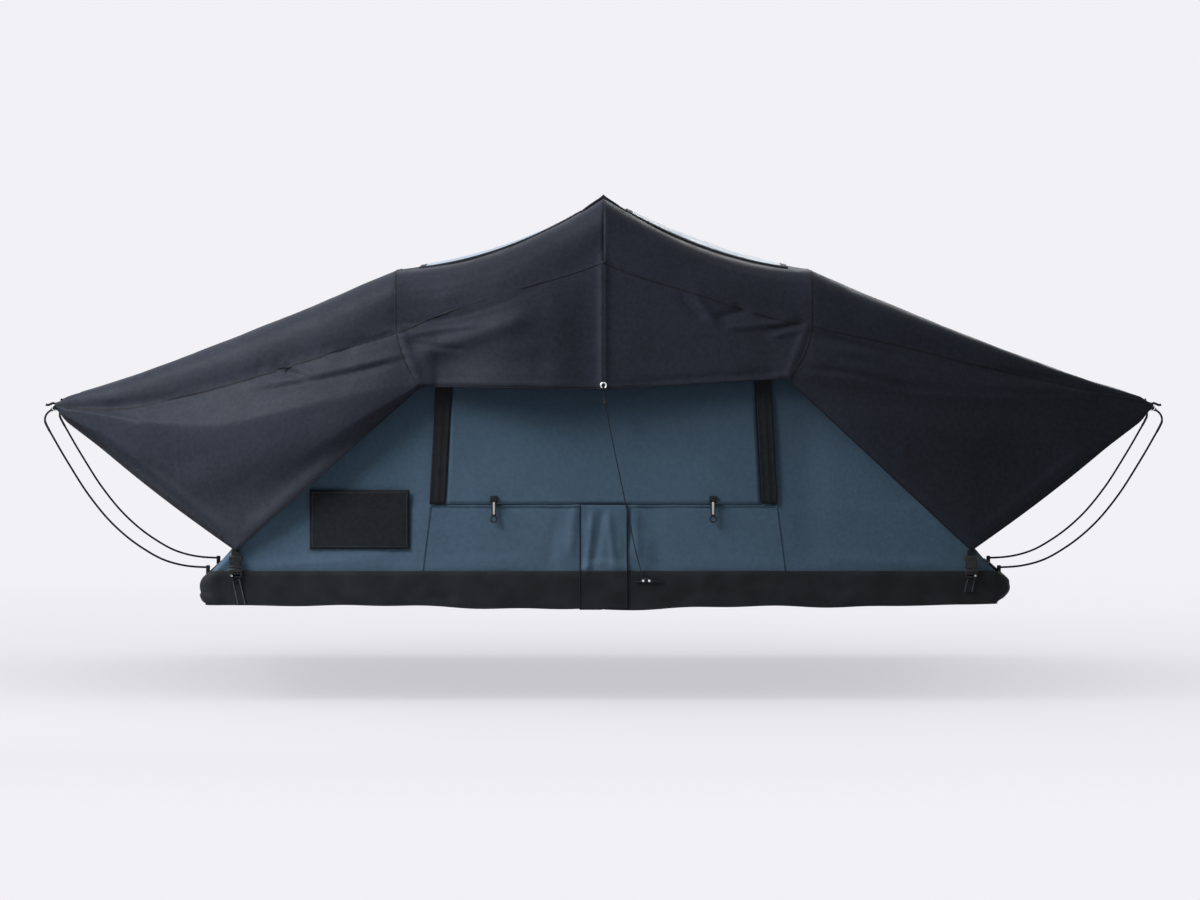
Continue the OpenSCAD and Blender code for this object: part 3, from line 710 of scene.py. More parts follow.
# The body canvas has painted shade, darker towards its top in place of the porch's shadow.
CANVAS = Canvas("body canvas", "body_fabric", "425566", "4a5f71", 0.8, relief=0.5, gloss=0.08)
CANVAS_TRIM = Cloth("canvas binding", "body_fabric", "384a5a", "415565", 0.85, pitch=0.0009,
                    gloss=0.08)
SKIRT = Moulded("skirt sheet", "skirt_pvc", "1d1e20", "26272a", 0.6, gloss=0.08)
WEBBING = Webbing("strap webbing", "black_webbing", "101113", "26272a", 0.75)
PATCH = Cloth("patch cloth", "black_webbing", "1b1d1f", "242629", 0.75, gloss=0.08)
PLASTIC = Moulded("moulded plastic", "black_plastic", "121315", "1a1b1e", 0.45, gloss=0.2)
BUCKLE = Moulded("buckle plastic", "black_plastic", "0c0d0e", "151618", 0.32, relief=0.1, gloss=0.3)
# Lighter grey strips on the strap's edges: an edge binding, made lighter as a painted sheen.
EDGE_BINDING_AND_SHEEN = Cloth("strap edge", "black_webbing", "3a3d40", "505356", 0.6, pitch=0.0012, gloss=0.2)
PANEL = Moulded("panel sheet", "panel_sheet", "babdc0", "c1c4c7", 0.55, gloss=0.2)
ALUMINIUM = Metal("drawn aluminium", "aluminium", "a9abae", "c2c4c7", 0.4)
ZINC = Metal("plated steel", "zinc_steel", "9b9ca0", "b8b6ae", 0.36, stretch=(0.3, 0.3, 0.3))
SPRING = Moulded("coated spring rod", "spring_rod", "0e0f11", "17181b", 0.55, grain=0.001,
                 gloss=0.1)
BRIGHT = Metal("bright metal", "bright_metal", "d5d7d9", "e6e7e9", 0.3, stretch=(0.4, 0.4, 0.4))
FOAM = Cloth("mattress cover", "mattress_cover", "6a6e74", "7c8187", 0.9, pitch=0.003, relief=0.8)
MILKY = Vinyl("milky vinyl", "clear_pvc", "93a5b8", "a2b3c5", 0.4)
CORD = Webbing("braided cord", "cord", "15171b", "2c3038", 0.8, pitch=0.003)
FLOOR = Paper("studio paper", "stage", "c4c4c8", "c8c8cc", 0.95)


# How the cloth moves


def vertices(obj: Piece) -> Array:
    """Read an object's own points.

    Args:
        obj: the object.

    Returns:
        One point to a row.
    """
    flat = np.zeros(len(obj.data.vertices) * 3, np.float32)
    obj.data.vertices.foreach_get("co", flat)
    return flat.reshape(-1, 3).astype(float)


@dataclass(frozen=True)
class FanFold:
    """Cloth that fans round the hinge line, held by the three bows."""

    hinge_z: float = 0.145
    angles: tuple[float, ...] = (0.0, 53.663, 90.0, 126.337, 180.0)
    shares: tuple[float, ...] = (1.0, 0.6952, 0.5, 0.3048, 0.0)

    def share(self, points: Array) -> Array:
        """Find how much of the fold each point takes.

        Args:
            points: rows of three.

        Returns:
            0 where it stays with the fixed base, 1 where it goes with the folding one.
        """
        angle = np.degrees(np.arctan2(points[:, 2] - self.hinge_z, points[:, 0]))
        angle = np.where(angle < 0.0, np.where(points[:, 0] < 0.0, 180.0, 0.0), angle)
        return np.interp(angle, self.angles, self.shares)

    def dress(self, obj: Piece, low: float | None = None, high: float = 0.0) -> Piece:
        """Bake a piece's placement into its mesh and work out each point's share of the fan, which
        is not applied.

        Args:
            obj: the piece, with its mesh final.
            low: height under which the piece stays with the fixed base, if it has such a part.
            high: height over which it fans fully.

        Returns:
            The same piece.
        """
        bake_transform(obj)
        points = vertices(obj)
        share = self.share(points)
        if low is not None:
            share = share * ease(low, high, points[:, 2])
        return obj


FAN = FanFold()


@dataclass(frozen=True)
class FlapFold:
    """Awning cloth that swings with its rods; its flattening along them is not built."""

    pin: Pair = (1.182, 0.104)
    slope: float = 46.5
    under: float = 0.022
    keep: float = 0.03

    def dress(self, obj: Piece, side: Side) -> Piece:
        """Make a piece swing with the rods.

        Args:
            obj: the piece, with its mesh final.
            side: its half of the tent.

        Returns:
            The same piece.
        """
        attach(obj, side.awning)
        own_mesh(obj)
        return obj


FLAP_FOLD = FlapFold()


# Creases in hung cloth


@dataclass(frozen=True)
class Crease:
    """A line along which a wall's cloth stands out or in, in the wall's X and Z."""

    start: Pair
    end: Pair
    width: float
    height: float
    bow: float = 0.0

    def lift(self, x: Array, z: Array) -> Array:
        """Read how far the cloth stands out.

        Args:
            x: places along the wall.
            z: their heights.

        Returns:
            The distance out from the wall.
        """
        ax, az = self.start
        dx, dz = self.end[0] - ax, self.end[1] - az
        long = math.hypot(dx, dz)
        along = ((x - ax) * dx + (z - az) * dz) / long ** 2
        off = ((z - az) * dx - (x - ax) * dz) / long - self.bow * 4.0 * along * (1.0 - along)
        fade = ease(-0.12, 0.18, along) * ease(-0.12, 0.18, 1.0 - along)
        return self.height * fade * np.exp(-(off / self.width) ** 2)


def rows_of_creases(*rows: tuple[float, ...]) -> tuple[Crease, ...]:
    """Make creases from rows: start, end, width, height and, where it has one, bow."""
    return tuple(Crease(row[:2], row[2:4], *row[4:]) for row in rows)


def creased(x: Array, z: Array, creases: Iterable[Crease]) -> Array:
    """Add up how far several creases make the cloth stand out from the wall."""
    return sum((crease.lift(x, z) for crease in creases), np.zeros(np.broadcast(x, z).shape))


SHOULDER_POWER = 3.2


def section(hem_y: Array, hem_z: Array, shoulder: Array, top: Array, bend: Array,
            s: Array) -> tuple[Array, Array]:
    """Place points on half a cross-section: wall, shoulder, flat.

    The shoulder is a little squarer than a circle, as cloth pulled over a bow is.

    Args:
        hem_y: half width at the hem.
        hem_z: height of the hem.
        shoulder: half width at the shoulder.
        top: height of the flat.
        bend: radius of the shoulder.
        s: 0 at the hem, 1 where the wall ends, 2 where the shoulder ends, 3 at the middle.

    Returns:
        Half widths and heights.
    """
    r = np.minimum(bend, 0.8 * (top - hem_z))
    wall = np.clip(s, 0.0, 1.0)
    turn = np.clip(s - 1.0, 0.0, 1.0) * math.pi / 2
    flat = np.clip(s - 2.0, 0.0, 1.0)
    over = np.maximum(np.cos(turn), 0.0) ** (2.0 / SHOULDER_POWER)
    up = np.maximum(np.sin(turn), 0.0) ** (2.0 / SHOULDER_POWER)
    y = np.where(s <= 1.0, mix(hem_y, shoulder, wall), shoulder - r + r * over)
    y = np.where(s > 2.0, (shoulder - r) * (1.0 - flat), y)
    z = np.where(s <= 1.0, mix(hem_z, top - r, wall), top - r + r * up)
    return y, z


def flow(x: Array, marks: Sequence[Pair]) -> Array:
    """Run a smooth curve through marked points.

    Args:
        x: where to read it.
        marks: places and values, in order.

    Returns:
        The curve's values.
    """
    xs, values = np.array(marks).T
    slopes = np.gradient(values, xs)
    k = np.clip(np.searchsorted(xs, x) - 1, 0, len(xs) - 2)
    h = xs[k + 1] - xs[k]
    t = np.clip((x - xs[k]) / h, 0.0, 1.0)
    return ((2 * t ** 3 - 3 * t ** 2 + 1) * values[k] + (t ** 3 - 2 * t ** 2 + t) * h * slopes[k]
            + (3 * t ** 2 - 2 * t ** 3) * values[k + 1] + (t ** 3 - t ** 2) * h * slopes[k + 1])


@dataclass(frozen=True)
class Hang:
    """How one half of the fly hangs: its shoulder seam, its long fold and its porch.

    The seam is places out from the ridge with drops below the top. The fold runs from
    the porch corner to the tip, as places out and heights.
    """

    seam: tuple[Pair, ...]
    fold: tuple[Pair, ...]
    fold_out: float
    fold_lip: float
    fold_back: float
    porch_rise: float
    belly: float
    crown: float
    crown_lean: float
    creases: tuple[Crease, ...]


PORCH_CREASES = rows_of_creases(
    (0.0, 0.60, 0.0, 1.06, 0.010, 0.008),
    (-0.60, 0.800, -0.37, 0.832, 0.010, 0.005),
    (-0.58, 0.775, -0.42, 0.757, 0.009, -0.005),
    (-0.55, 0.745, -0.22, 0.855, 0.030, 0.013),
    (-0.48, 0.715, -0.14, 0.720, 0.040, -0.007),
    (-0.30, 0.62, -0.24, 0.90, 0.14, 0.012),
    (-0.50, 0.660, -0.10, 0.652, 0.008, 0.004),
    (0.225, 0.915, 0.295, 0.850, 0.010, -0.005),
    (0.265, 0.925, 0.340, 0.830, 0.012, 0.006),
    (0.335, 0.850, 0.445, 0.880, 0.012, -0.007),
    (0.37, 0.822, 0.56, 0.838, 0.011, 0.006),
    (0.49, 0.818, 0.60, 0.834, 0.008, -0.006),
    (0.50, 0.795, 0.59, 0.815, 0.008, 0.005),
    (0.08, 0.655, 0.52, 0.690, 0.012, -0.004),
)
HANGS = {
    Side.FIXED: Hang(
        seam=((0.0, 0.189), (0.296, 0.130), (0.526, 0.152), (0.606, 0.180), (0.756, 0.168),
              (0.986, 0.146), (1.216, 0.122), (1.446, 0.088), (1.6286, 0.020)),
        fold=((0.50, 0.662), (0.549, 0.656), (0.756, 0.622), (0.963, 0.576), (1.158, 0.535),
              (1.296, 0.538), (1.607, 0.575), (1.64, 0.578)),
        fold_out=0.056, fold_lip=0.15, fold_back=0.0, porch_rise=0.008, belly=0.022,
        crown=0.012, crown_lean=1.6,
        creases=rows_of_creases(
            (-0.543, 0.650, -0.603, 0.812, 0.009, 0.006),
            (-0.621, 0.80, -0.621, 1.02, 0.007, -0.001),
            (-1.030, 0.703, -0.875, 0.672, 0.008, -0.010, 0.006),
            (-1.000, 0.712, -0.870, 0.690, 0.008, 0.006),
            (-1.08, 0.622, -0.62, 0.718, 0.009, -0.007, -0.006),
            (-1.02, 0.650, -0.60, 0.742, 0.012, 0.006),
            (-0.84, 0.740, -0.74, 0.752, 0.007, -0.005),
            (-0.79, 0.752, -0.63, 0.800, 0.009, -0.005),
            (-1.50, 0.588, -1.20, 0.612, 0.010, -0.005),
            (-1.48, 0.580, -1.37, 0.545, 0.010, -0.006),
            (-1.30, 0.330, -0.72, 0.535, 0.06, 0.010),
            (-1.45, 0.470, -1.12, 0.215, 0.014, 0.005),
            (-1.06, 0.215, -0.80, 0.440, 0.02, 0.006),
        )),
    Side.FOLDING: Hang(
        seam=((0.0, 0.192), (0.305, 0.137), (0.512, 0.150), (0.610, 0.161), (0.765, 0.135),
              (0.880, 0.112), (1.110, 0.078), (1.317, 0.047), (1.6286, 0.012)),
        fold=((0.50, 0.690), (0.541, 0.690), (0.765, 0.6815), (0.903, 0.650), (1.110, 0.628),
              (1.397, 0.633), (1.60, 0.606), (1.64, 0.600)),
        fold_out=0.020, fold_lip=0.030, fold_back=0.25, porch_rise=0.032, belly=0.0,
        crown=0.022, crown_lean=1.0,
        creases=rows_of_creases(
            (0.543, 0.660, 0.606, 0.830, 0.009, 0.006),
            (0.621, 0.82, 0.621, 1.02, 0.007, -0.001),
            (0.615, 0.812, 0.90, 0.735, 0.010, -0.008, -0.006),
            (0.80, 0.738, 1.34, 0.667, 0.011, -0.008),
            (0.66, 0.765, 1.15, 0.690, 0.016, 0.007, -0.004),
            (0.621, 0.700, 0.93, 0.640, 0.010, -0.009, 0.008),
            (0.85, 0.655, 1.40, 0.628, 0.011, -0.009, -0.012),
            (0.70, 0.560, 1.20, 0.480, 0.06, 0.007),
            (1.45, 0.470, 1.12, 0.215, 0.014, 0.005),
            (1.05, 0.205, 0.62, 0.590, 0.018, -0.006),
        )),
}


@dataclass(frozen=True)
class FlyShape:
    """The rain fly's surface, from the ridge at x = 0 out to the awning tip."""

    peak: float = 1.207
    kink: Pair = (0.621, 0.990)
    roof_curve: float = 1.9
    shoulder_r: float = 0.150
    tip_r: float = 0.008
    tip_x: float = 1.6286
    tip_top: float = 0.603
    tip_low: float = 0.573
    tip_y: float = 0.712
    tip_reach: float = 0.014
    sag: float = 0.015
    scoop: float = 0.060
    porch_x: float = 0.5434
    porch_z: float = 0.640
    porch_y: Pair = (1.008, 0.978)
    corner: Pair = (1.094, 0.160)
    corner_y: float = 0.9599
    hem_sag: float = 0.014
    hem_puff: float = 0.014
    wall_y: float = 0.9465
    shoulder_ease: float = 1.5
    flap_top: float = 0.95
    flap_low: float = 1.130
    crown_half: float = 0.46
    fold_span: Pair = (0.50, 1.61)
    pleat: float = 0.0012
    pleat_pitch: float = 230.0
    drawn_from: float = 1.48
    pinched_from: float = 1.59

    def roof(self, x: Array) -> Array:
        """Height of the roof between the ridge and the side bow."""
        rise = np.maximum(0.0, 1.0 - x / self.kink[0]) ** self.roof_curve
        return self.kink[1] + (self.peak - self.kink[1]) * rise

    def crown(self, x: Array, y: Array, hang: Hang) -> Array:
        """How far the roof swells up between the shoulders."""
        along = np.sin(math.pi * np.clip(x / self.kink[0], 0.0, 1.0) ** hang.crown_lean) ** 0.8
        return hang.crown * along * np.maximum(0.0, 1.0 - (y / self.crown_half) ** 4)

    def out(self, x: Array) -> Array:
        """How far x is from the side bow to the tip, from 0 to 1."""
        return np.clip((x - self.kink[0]) / (self.tip_x - self.kink[0]), 0.0, 1.0)

    def top(self, x: Array) -> Array:
        """Height of the fly's top."""
        awning = (mix(self.kink[1], self.tip_top, self.out(x))
                  - self.sag * np.sin(math.pi * self.out(x)))
        return np.where(x <= self.kink[0], self.roof(x), awning)

    def end(self, x: Array) -> Array:
        """How far x is from the lower corner to the tip, 0 before the corner."""
        return np.clip((x - self.corner[0]) / (self.tip_x - self.corner[0]), 0.0, 1.0)

    def hem(self, x: Array, hang: Hang) -> tuple[Array, Array]:
        """Find the fly's hem.

        Args:
            x: places out from the ridge.
            hang: how this half hangs.

        Returns:
            Half widths and heights.
        """
        flank = np.clip((x - self.porch_x) / (self.corner[0] - self.porch_x), 0.0, 1.0)
        porch = np.clip(x / self.porch_x, 0.0, 1.0)
        end = self.end(x)
        z = mix(self.porch_z + hang.porch_rise * porch, self.corner[1], flank)
        z = mix(z, self.tip_low, end) - self.hem_sag * np.sin(math.pi * end)
        y = mix(mix(mix(*self.porch_y, porch), self.corner_y, flank), self.tip_y, end)
        return y + self.hem_puff * np.sin(math.pi * flank), z

    def shoulder(self, x: Array) -> Array:
        """Half width at the shoulder."""
        return mix(self.wall_y, self.tip_y, self.out(x) ** self.shoulder_ease)

    def bend(self, x: Array, hang: Hang) -> Array:
        """Find the radius of the shoulder, which reaches down to the seam over the awning.

        Args:
            x: places out from the ridge.
            hang: how this half hangs.

        Returns:
            The radii.
        """
        seam = np.maximum(flow(x, hang.seam), self.tip_r)
        r = mix(self.shoulder_r, seam, ease(self.kink[0], self.kink[0] + 0.2, x))
        return np.minimum(r, 0.8 * (self.top(x) - self.hem(x, hang)[1]))

    def seam(self, x: Array, hang: Hang, off: Array) -> Array:
        """Find the shoulder seam.

        Args:
            x: places out from the ridge.
            hang: how this half hangs.
            off: heights over the seam's middle, in a row.

        Returns:
            Its places on the section, along by across.
        """
        drop, r = flow(x, hang.seam)[:, None] - off, self.bend(x, hang)[:, None]
        wall = self.top(x)[:, None] - r - self.hem(x, hang)[1][:, None]
        up = np.clip((r - drop) / r, 0.0, 1.0) ** (SHOULDER_POWER / 2.0)
        bend = np.arcsin(up) * 2.0 / math.pi
        return np.where(drop >= r, 1.0 + (r - drop) / wall, 1.0 + bend)

    def drape(self, x: Array, z: Array, hang: Hang) -> Array:
        """Find how far the long fold from the porch corner to the tip stands out.

        Args:
            x: places out from the ridge.
            z: their heights.
            hang: how this half hangs.

        Returns:
            The distances out.
        """
        fold, hem = flow(x, hang.fold), self.hem(x, hang)[1]
        seam_z = self.top(x) - flow(x, hang.seam)
        start, stop = self.fold_span
        span = np.clip((x - start) / (stop - start), 0.0, 1.0)
        amount = hang.fold_out * np.sin(math.pi * span ** 0.85) ** 0.7
        above = np.clip((seam_z - z) / np.maximum(seam_z - fold, 0.01), 0.0, 1.0)
        low = np.clip((z - hem) / np.maximum(fold - hem, 0.01), 0.0, 1.0)
        lip = np.exp(-((fold - z) / hang.fold_lip) ** 2)
        below = mix(hang.fold_back, 1.0, lip) * ease(0.0, 0.45, low)
        return amount * np.where(z >= fold, above ** 1.15, below)

    def flap_at(self, s: Array) -> Array:
        """Where the awning's own cloth starts, for each place on the section."""
        return mix(self.flap_low, self.flap_top, ease(0.0, 1.0, s))

    def at(self, x: Array, s: Array, side: Side, face: Face, lift: Array | float = 0.0) -> Array:
        """Place points on the fly.

        Args:
            x: distance out from the ridge.
            s: place on the section, from 0 at the hem to 3 at the middle.
            side: the half of the tent.
            face: the front or rear half of the section.
            lift: extra distance out.

        Returns:
            The points.
        """
        hang = HANGS[side]
        x, s, lift = np.broadcast_arrays(*(np.asarray(value, float) for value in (x, s, lift)))
        hem_y, hem_z = self.hem(x, hang)
        shoulder = self.shoulder(x)
        y, z = section(hem_y, hem_z, shoulder, self.top(x), self.bend(x, hang), s)
        pull = self.scoop * self.end(x) ** 2 * np.maximum(0.0, 1.0 - (y / shoulder) ** 2)
        wall = 1.0 - ease(1.2, 2.0, s)
        lines = creased(x * side.value, z, hang.creases + PORCH_CREASES)
        drop = self.top(x) - z
        pleats = self.pleat * np.sin(drop * self.pleat_pitch)
        pleats = pleats * ease(0.15, 0.3, x) * ease(0.64, 0.60, x) * ease(0.19, 0.15, drop)
        belly = hang.belly * ease(0.012, 0.17, x) * ease(0.62, 0.28, x) * ease(1.05, 0.90, z)
        out = (self.drape(x, z, hang) + belly + lines + lift) * wall + pleats * ease(3.0, 1.8, s)
        up = (lift + self.crown(x, y, hang)) * (1.0 - wall)
        drawn, pinch = (ease(start, self.tip_x, x) * ease(0.58, 0.70, y)
                        for start in (self.drawn_from, self.pinched_from))
        x = x - pull + self.tip_reach * drawn
        z = mix(z, 0.5 * (self.tip_top + self.tip_low), 0.6 * pinch)
        points = places(x * side.value, face.value * (y + out), z + up)
        rough = ripple(points, 0.16, 3.0) * 0.0030 + ripple(points, 0.05, 9.0) * 0.0008
        still = ease(0.0, 0.12, s) * (1.0 - ease(0.93, 1.0, self.out(x + pull)))
        points[..., 1] += face.value * rough * wall * still
        points[..., 2] += rough * (1.0 - wall) * still
        return points


# The rain fly


# The halves of a cloth meet this far from the middle
NEAR_MIDDLE = 0.0003


@dataclass(frozen=True)
class Fly:
    """One half of the rain fly, its awning flap, hems, seams and roof sheets."""

    side: Side
    shape: FlyShape = FlyShape()
    cloth: float = 0.002
    hem_r: float = 0.0022
    hem_in: float = 0.001
    end_in: float = 0.002
    tuck: float = 0.0005
    seam_half: float = 0.0032
    seam_lifts: tuple[float, ...] = (0.0002, 0.0010, 0.0013, 0.0010, 0.0002)
    seam_stop: float = 0.03
    band: float = 0.020
    band_lifts: tuple[float, ...] = (0.0012, 0.0014, 0.0014, 0.0016, 0.0002)
    sky_x: Pair = (0.0776, 0.5434)
    sky_y: float = 0.42
    welt: float = 0.022
    welt_lifts: tuple[float, ...] = (0.0004, 0.0046, 0.0052, 0.0046, 0.0052, 0.0055, 0.0048)
    steps: tuple[int, int, int] = (65, 46, 60)
    wall: int = 46
    arc: int = 22
    flat: int = 16

    def rows(self) -> Array:
        """Places on half a section, from the hem to the middle."""
        wall, arc = np.linspace(0.0, 1.0, self.wall), np.linspace(1.0, 2.0, self.arc)
        return np.concatenate([wall, arc[1:], np.linspace(2.0, 3.0, self.flat)[1:]])

    def sheet(self, xs: Callable[[Array], Array], tuck: int) -> Array:
        """Place a whole section's grid.

        Args:
            xs: the places out from the ridge for each place on the section.
            tuck: the row that dips under the next cloth.

        Returns:
            The grid, from the front hem over to the rear hem.
        """
        s = self.rows()
        place = xs(s)
        lift = np.zeros_like(place)
        lift[tuck] = -self.tuck
        return over_both(lambda face: self.shape.at(place, s[None], self.side, face, lift))

    def main_xs(self, s: Array) -> Array:
        """Find the places of the main cloth, to just past the start of the awning's own.

        Args:
            s: places on the section.

        Returns:
            Distances out from the ridge, along by across.
        """
        bow = self.shape.kink[0]
        roof = np.linspace(NEAR_MIDDLE, bow, self.steps[0])[:, None] * np.ones_like(s)
        past = 1.0 + 1.0 / (self.steps[1] - 1)
        corner = (self.shape.corner[0] - bow) / (self.shape.flap_low - bow)
        share = np.sort([*np.linspace(0.0, 1.0, self.steps[1])[1:], corner, past])[:, None]
        return np.concatenate([roof, mix(bow, self.shape.flap_at(s)[None], share)])

    def flap_xs(self, s: Array) -> Array:
        """Places out from the ridge of the awning's own cloth, from just before its start."""
        share = np.linspace(-1.0 / (self.steps[2] - 1), 1.0, self.steps[2] + 1)[:, None]
        return mix(self.shape.flap_at(s)[None], self.shape.tip_x, share)

    def strip(self, name: str, x: Array, s: Array, face: Face, lifts: Sequence[float]) -> Piece:
        """Lay a sewn strip on the fly, by its places along by across and its heights across."""
        grid = self.shape.at(x, s, self.side, face, lifts)
        return grid_object(name, grid, FLY_TRIM, flip=self.side.flip != face.flip)

    def main(self) -> None:
        """Build the cloth from the ridge to the awning's own cloth."""
        name = f"{self.side.word}_fly_cloth"
        grid = self.sheet(self.main_xs, -1)
        obj = thicken(grid_object(name, grid, FLY, self.side.flip), self.cloth)
        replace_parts(obj, f"{self.side.word}_fly")
        FAN.dress(obj)

    def flap(self) -> None:
        """Build the awning's own cloth."""
        name = f"{self.side.word}_awning_cloth"
        grid = self.sheet(self.flap_xs, 0)
        obj = thicken(grid_object(name, grid, FLY, self.side.flip), self.cloth)
        FLAP_FOLD.dress(obj, self.side)

    def dress(self, obj: Piece, on_flap: bool) -> Piece:
        """Make a piece move with the awning's own cloth, or with the rest of the fly."""
        return FLAP_FOLD.dress(obj, self.side) if on_flap else FAN.dress(obj)

    def hems(self) -> None:
        """Build the rolled hems: along each wall, and across the awning's end."""
        near = np.concatenate([np.linspace(NEAR_MIDDLE, self.shape.porch_x, 60),
                               np.linspace(self.shape.porch_x, self.shape.corner[0], 50)[1:],
                               np.linspace(self.shape.corner[0], self.shape.flap_low, 6)[1:]])
        far = np.linspace(self.shape.flap_low, self.shape.tip_x, 50)
        for face in Face:
            for part, xs in (("fly_hem", near), ("awning_hem", far)):
                path = self.shape.at(xs, np.zeros_like(xs), self.side, face)
                path[:, 1] -= face.value * self.hem_in
                name = f"{self.side.word}_{face.word}_{part}"
                hem = tube_object(name, path, self.hem_r, FLY_TRIM)
                self.dress(hem, part == "awning_hem")
        path = over_both(lambda face: self.shape.at(self.shape.tip_x, self.rows(), self.side, face))
        path[:, 0] -= self.side.value * self.end_in
        end = tube_object(f"{self.side.word}_awning_end_hem", path[::2], self.hem_r, FLY_TRIM)
        self.dress(end, True)

    def seams(self) -> None:
        """Build the flat seams: under the shoulders, over the side bow, and at the awning's end."""
        hang = HANGS[self.side]
        across = self.seam_half * np.linspace(-1.0, 1.0, len(self.seam_lifts))
        start, stop = self.shape.flap_top, self.shape.tip_x - self.seam_stop
        rows = self.rows()
        lean = mix(self.shape.porch_x + 0.004, self.shape.kink[0] - 0.002, ease(-0.2, 1.0, rows))
        low = np.linspace(self.shape.flap_low + 0.004, stop, 80)
        wall = self.shape.top(low) - self.shape.bend(low, hang) - self.shape.hem(low, hang)[1]
        band = np.minimum(self.band / np.maximum(wall, 0.02), 0.6)
        for face in Face:
            tag = f"{self.side.word}_{face.word}"
            for part, xs in (("shoulder_seam", np.linspace(NEAR_MIDDLE, start, 140)),
                             ("awning_seam", np.linspace(start, stop, 100))):
                s = self.shape.seam(xs, hang, across)
                strip = self.strip(f"{tag}_{part}", xs[:, None], s, face, self.seam_lifts)
                self.dress(strip, part == "awning_seam")
            xs = lean[:, None] + across
            strip = self.strip(f"{tag}_bow_seam", xs, rows[:, None], face, self.seam_lifts)
            self.dress(strip, False)
            rise = band[:, None] * np.linspace(0.0, 1.0, len(self.band_lifts))
            strip = self.strip(f"{tag}_end_band", low[:, None], rise, face, self.band_lifts)
            self.dress(strip, True)

    def over_roof(self, x: Array, y: Array, lift: Array | float) -> Array:
        """Place points at heights over the roof's cloth."""
        z = self.shape.roof(x) + self.shape.crown(x, y, HANGS[self.side]) + lift
        return places(x * self.side.value, y, z)

    def welts(self) -> None:
        """Build the stitched welts round the milky strip."""
        lifts = np.array(self.welt_lifts)
        across = np.linspace(-self.welt / 2, self.welt / 2, len(lifts))
        inner, outer = self.sky_x
        ys = np.linspace(-self.sky_y, self.sky_y, 60)
        for name, x, way in (("ridge", inner, 1.0), ("eave", outer, -1.0)):
            grid = self.over_roof(x + way * across[:, None], ys[None], lifts[:, None])
            flip = self.side.flip != (way < 0.0)
            FAN.dress(grid_object(f"{self.side.word}_skylight_{name}_welt", grid, FLY_TRIM, flip))
        xs = np.linspace(inner - self.welt / 2, outer + self.welt / 2, 50)
        for face in Face:
            ys = face.value * (self.sky_y - across[None])
            grid = self.over_roof(xs[:, None], ys, lifts[None] + 0.0004)
            flip = self.side.flip != face.flip
            name = f"{self.side.word}_skylight_{face.word}_welt"
            FAN.dress(grid_object(name, grid, FLY_TRIM, flip))

    def skylight(self) -> None:
        """Build the milky strip let into the roof."""
        xs = np.linspace(*self.sky_x, 40)[:, None]
        ys = np.linspace(-self.sky_y, self.sky_y, 24)[None]
        grid = self.over_roof(xs, ys, 0.0045)
        grid[..., 2] += 0.001 * ripple(grid, 0.12, 5.0)
        obj = grid_object(f"{self.side.word}_skylight_sheet", grid, MILKY, self.side.flip)
        thicken(obj, 0.0012)
        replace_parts(obj, f"{self.side.word}_skylight")
        FAN.dress(obj)

    def build(self) -> None:
        """Build this half of the fly."""
        self.main()
        self.flap()
        self.hems()
        self.seams()
        self.skylight()
        self.welts()


@dataclass(frozen=True)
class RidgeCap:
    """The strip of cloth over the ridge."""

    shape: FlyShape = FlyShape()
    half: float = 0.0699
    length: float = 1.593

    def build(self) -> None:
        """Build the cap, with a rib down its middle."""
        xs = np.linspace(-self.half, self.half, 29)
        ys = np.linspace(-self.length / 2, self.length / 2, 60)
        rib = 0.002 * np.exp(-(xs / 0.006) ** 2)
        z = self.shape.roof(np.abs(xs)) + 0.009 - 0.006 * (xs / self.half) ** 4 + rib
        grid = places(xs[:, None], ys, z[:, None])
        slack = np.cos(xs / self.half * math.pi / 2)[:, None]
        grid[..., 2] += 0.0012 * ripple(grid, 0.09, 12.0) * slack
        obj = thicken(grid_object("ridge_cap_cloth", grid, FLY), 0.008)
        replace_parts(obj, "ridge_cap")
        FAN.dress(obj)


# The body under the fly


WALL_CREASES = rows_of_creases(
    (-0.10, 0.150, -0.085, 0.290, 0.012, 0.006),
    (-0.16, 0.120, -0.13, 0.285, 0.016, -0.002),
    (0.10, 0.140, 0.09, 0.290, 0.012, 0.006),
    (0.18, 0.110, 0.14, 0.280, 0.020, -0.002),
    (-0.52, 0.115, -0.20, 0.125, 0.012, 0.004),
    (0.52, 0.115, 0.22, 0.130, 0.012, 0.004),
    (-1.02, 0.115, -0.62, 0.130, 0.015, 0.004),
    (1.02, 0.118, 0.62, 0.130, 0.015, 0.004),
    (-1.05, 0.200, -0.90, 0.420, 0.03, 0.006),
    (1.05, 0.200, 0.90, 0.420, 0.03, 0.006),
    (-0.62, 0.110, -0.60, 0.600, 0.05, -0.004),
    (0.62, 0.110, 0.60, 0.600, 0.05, -0.004),
)


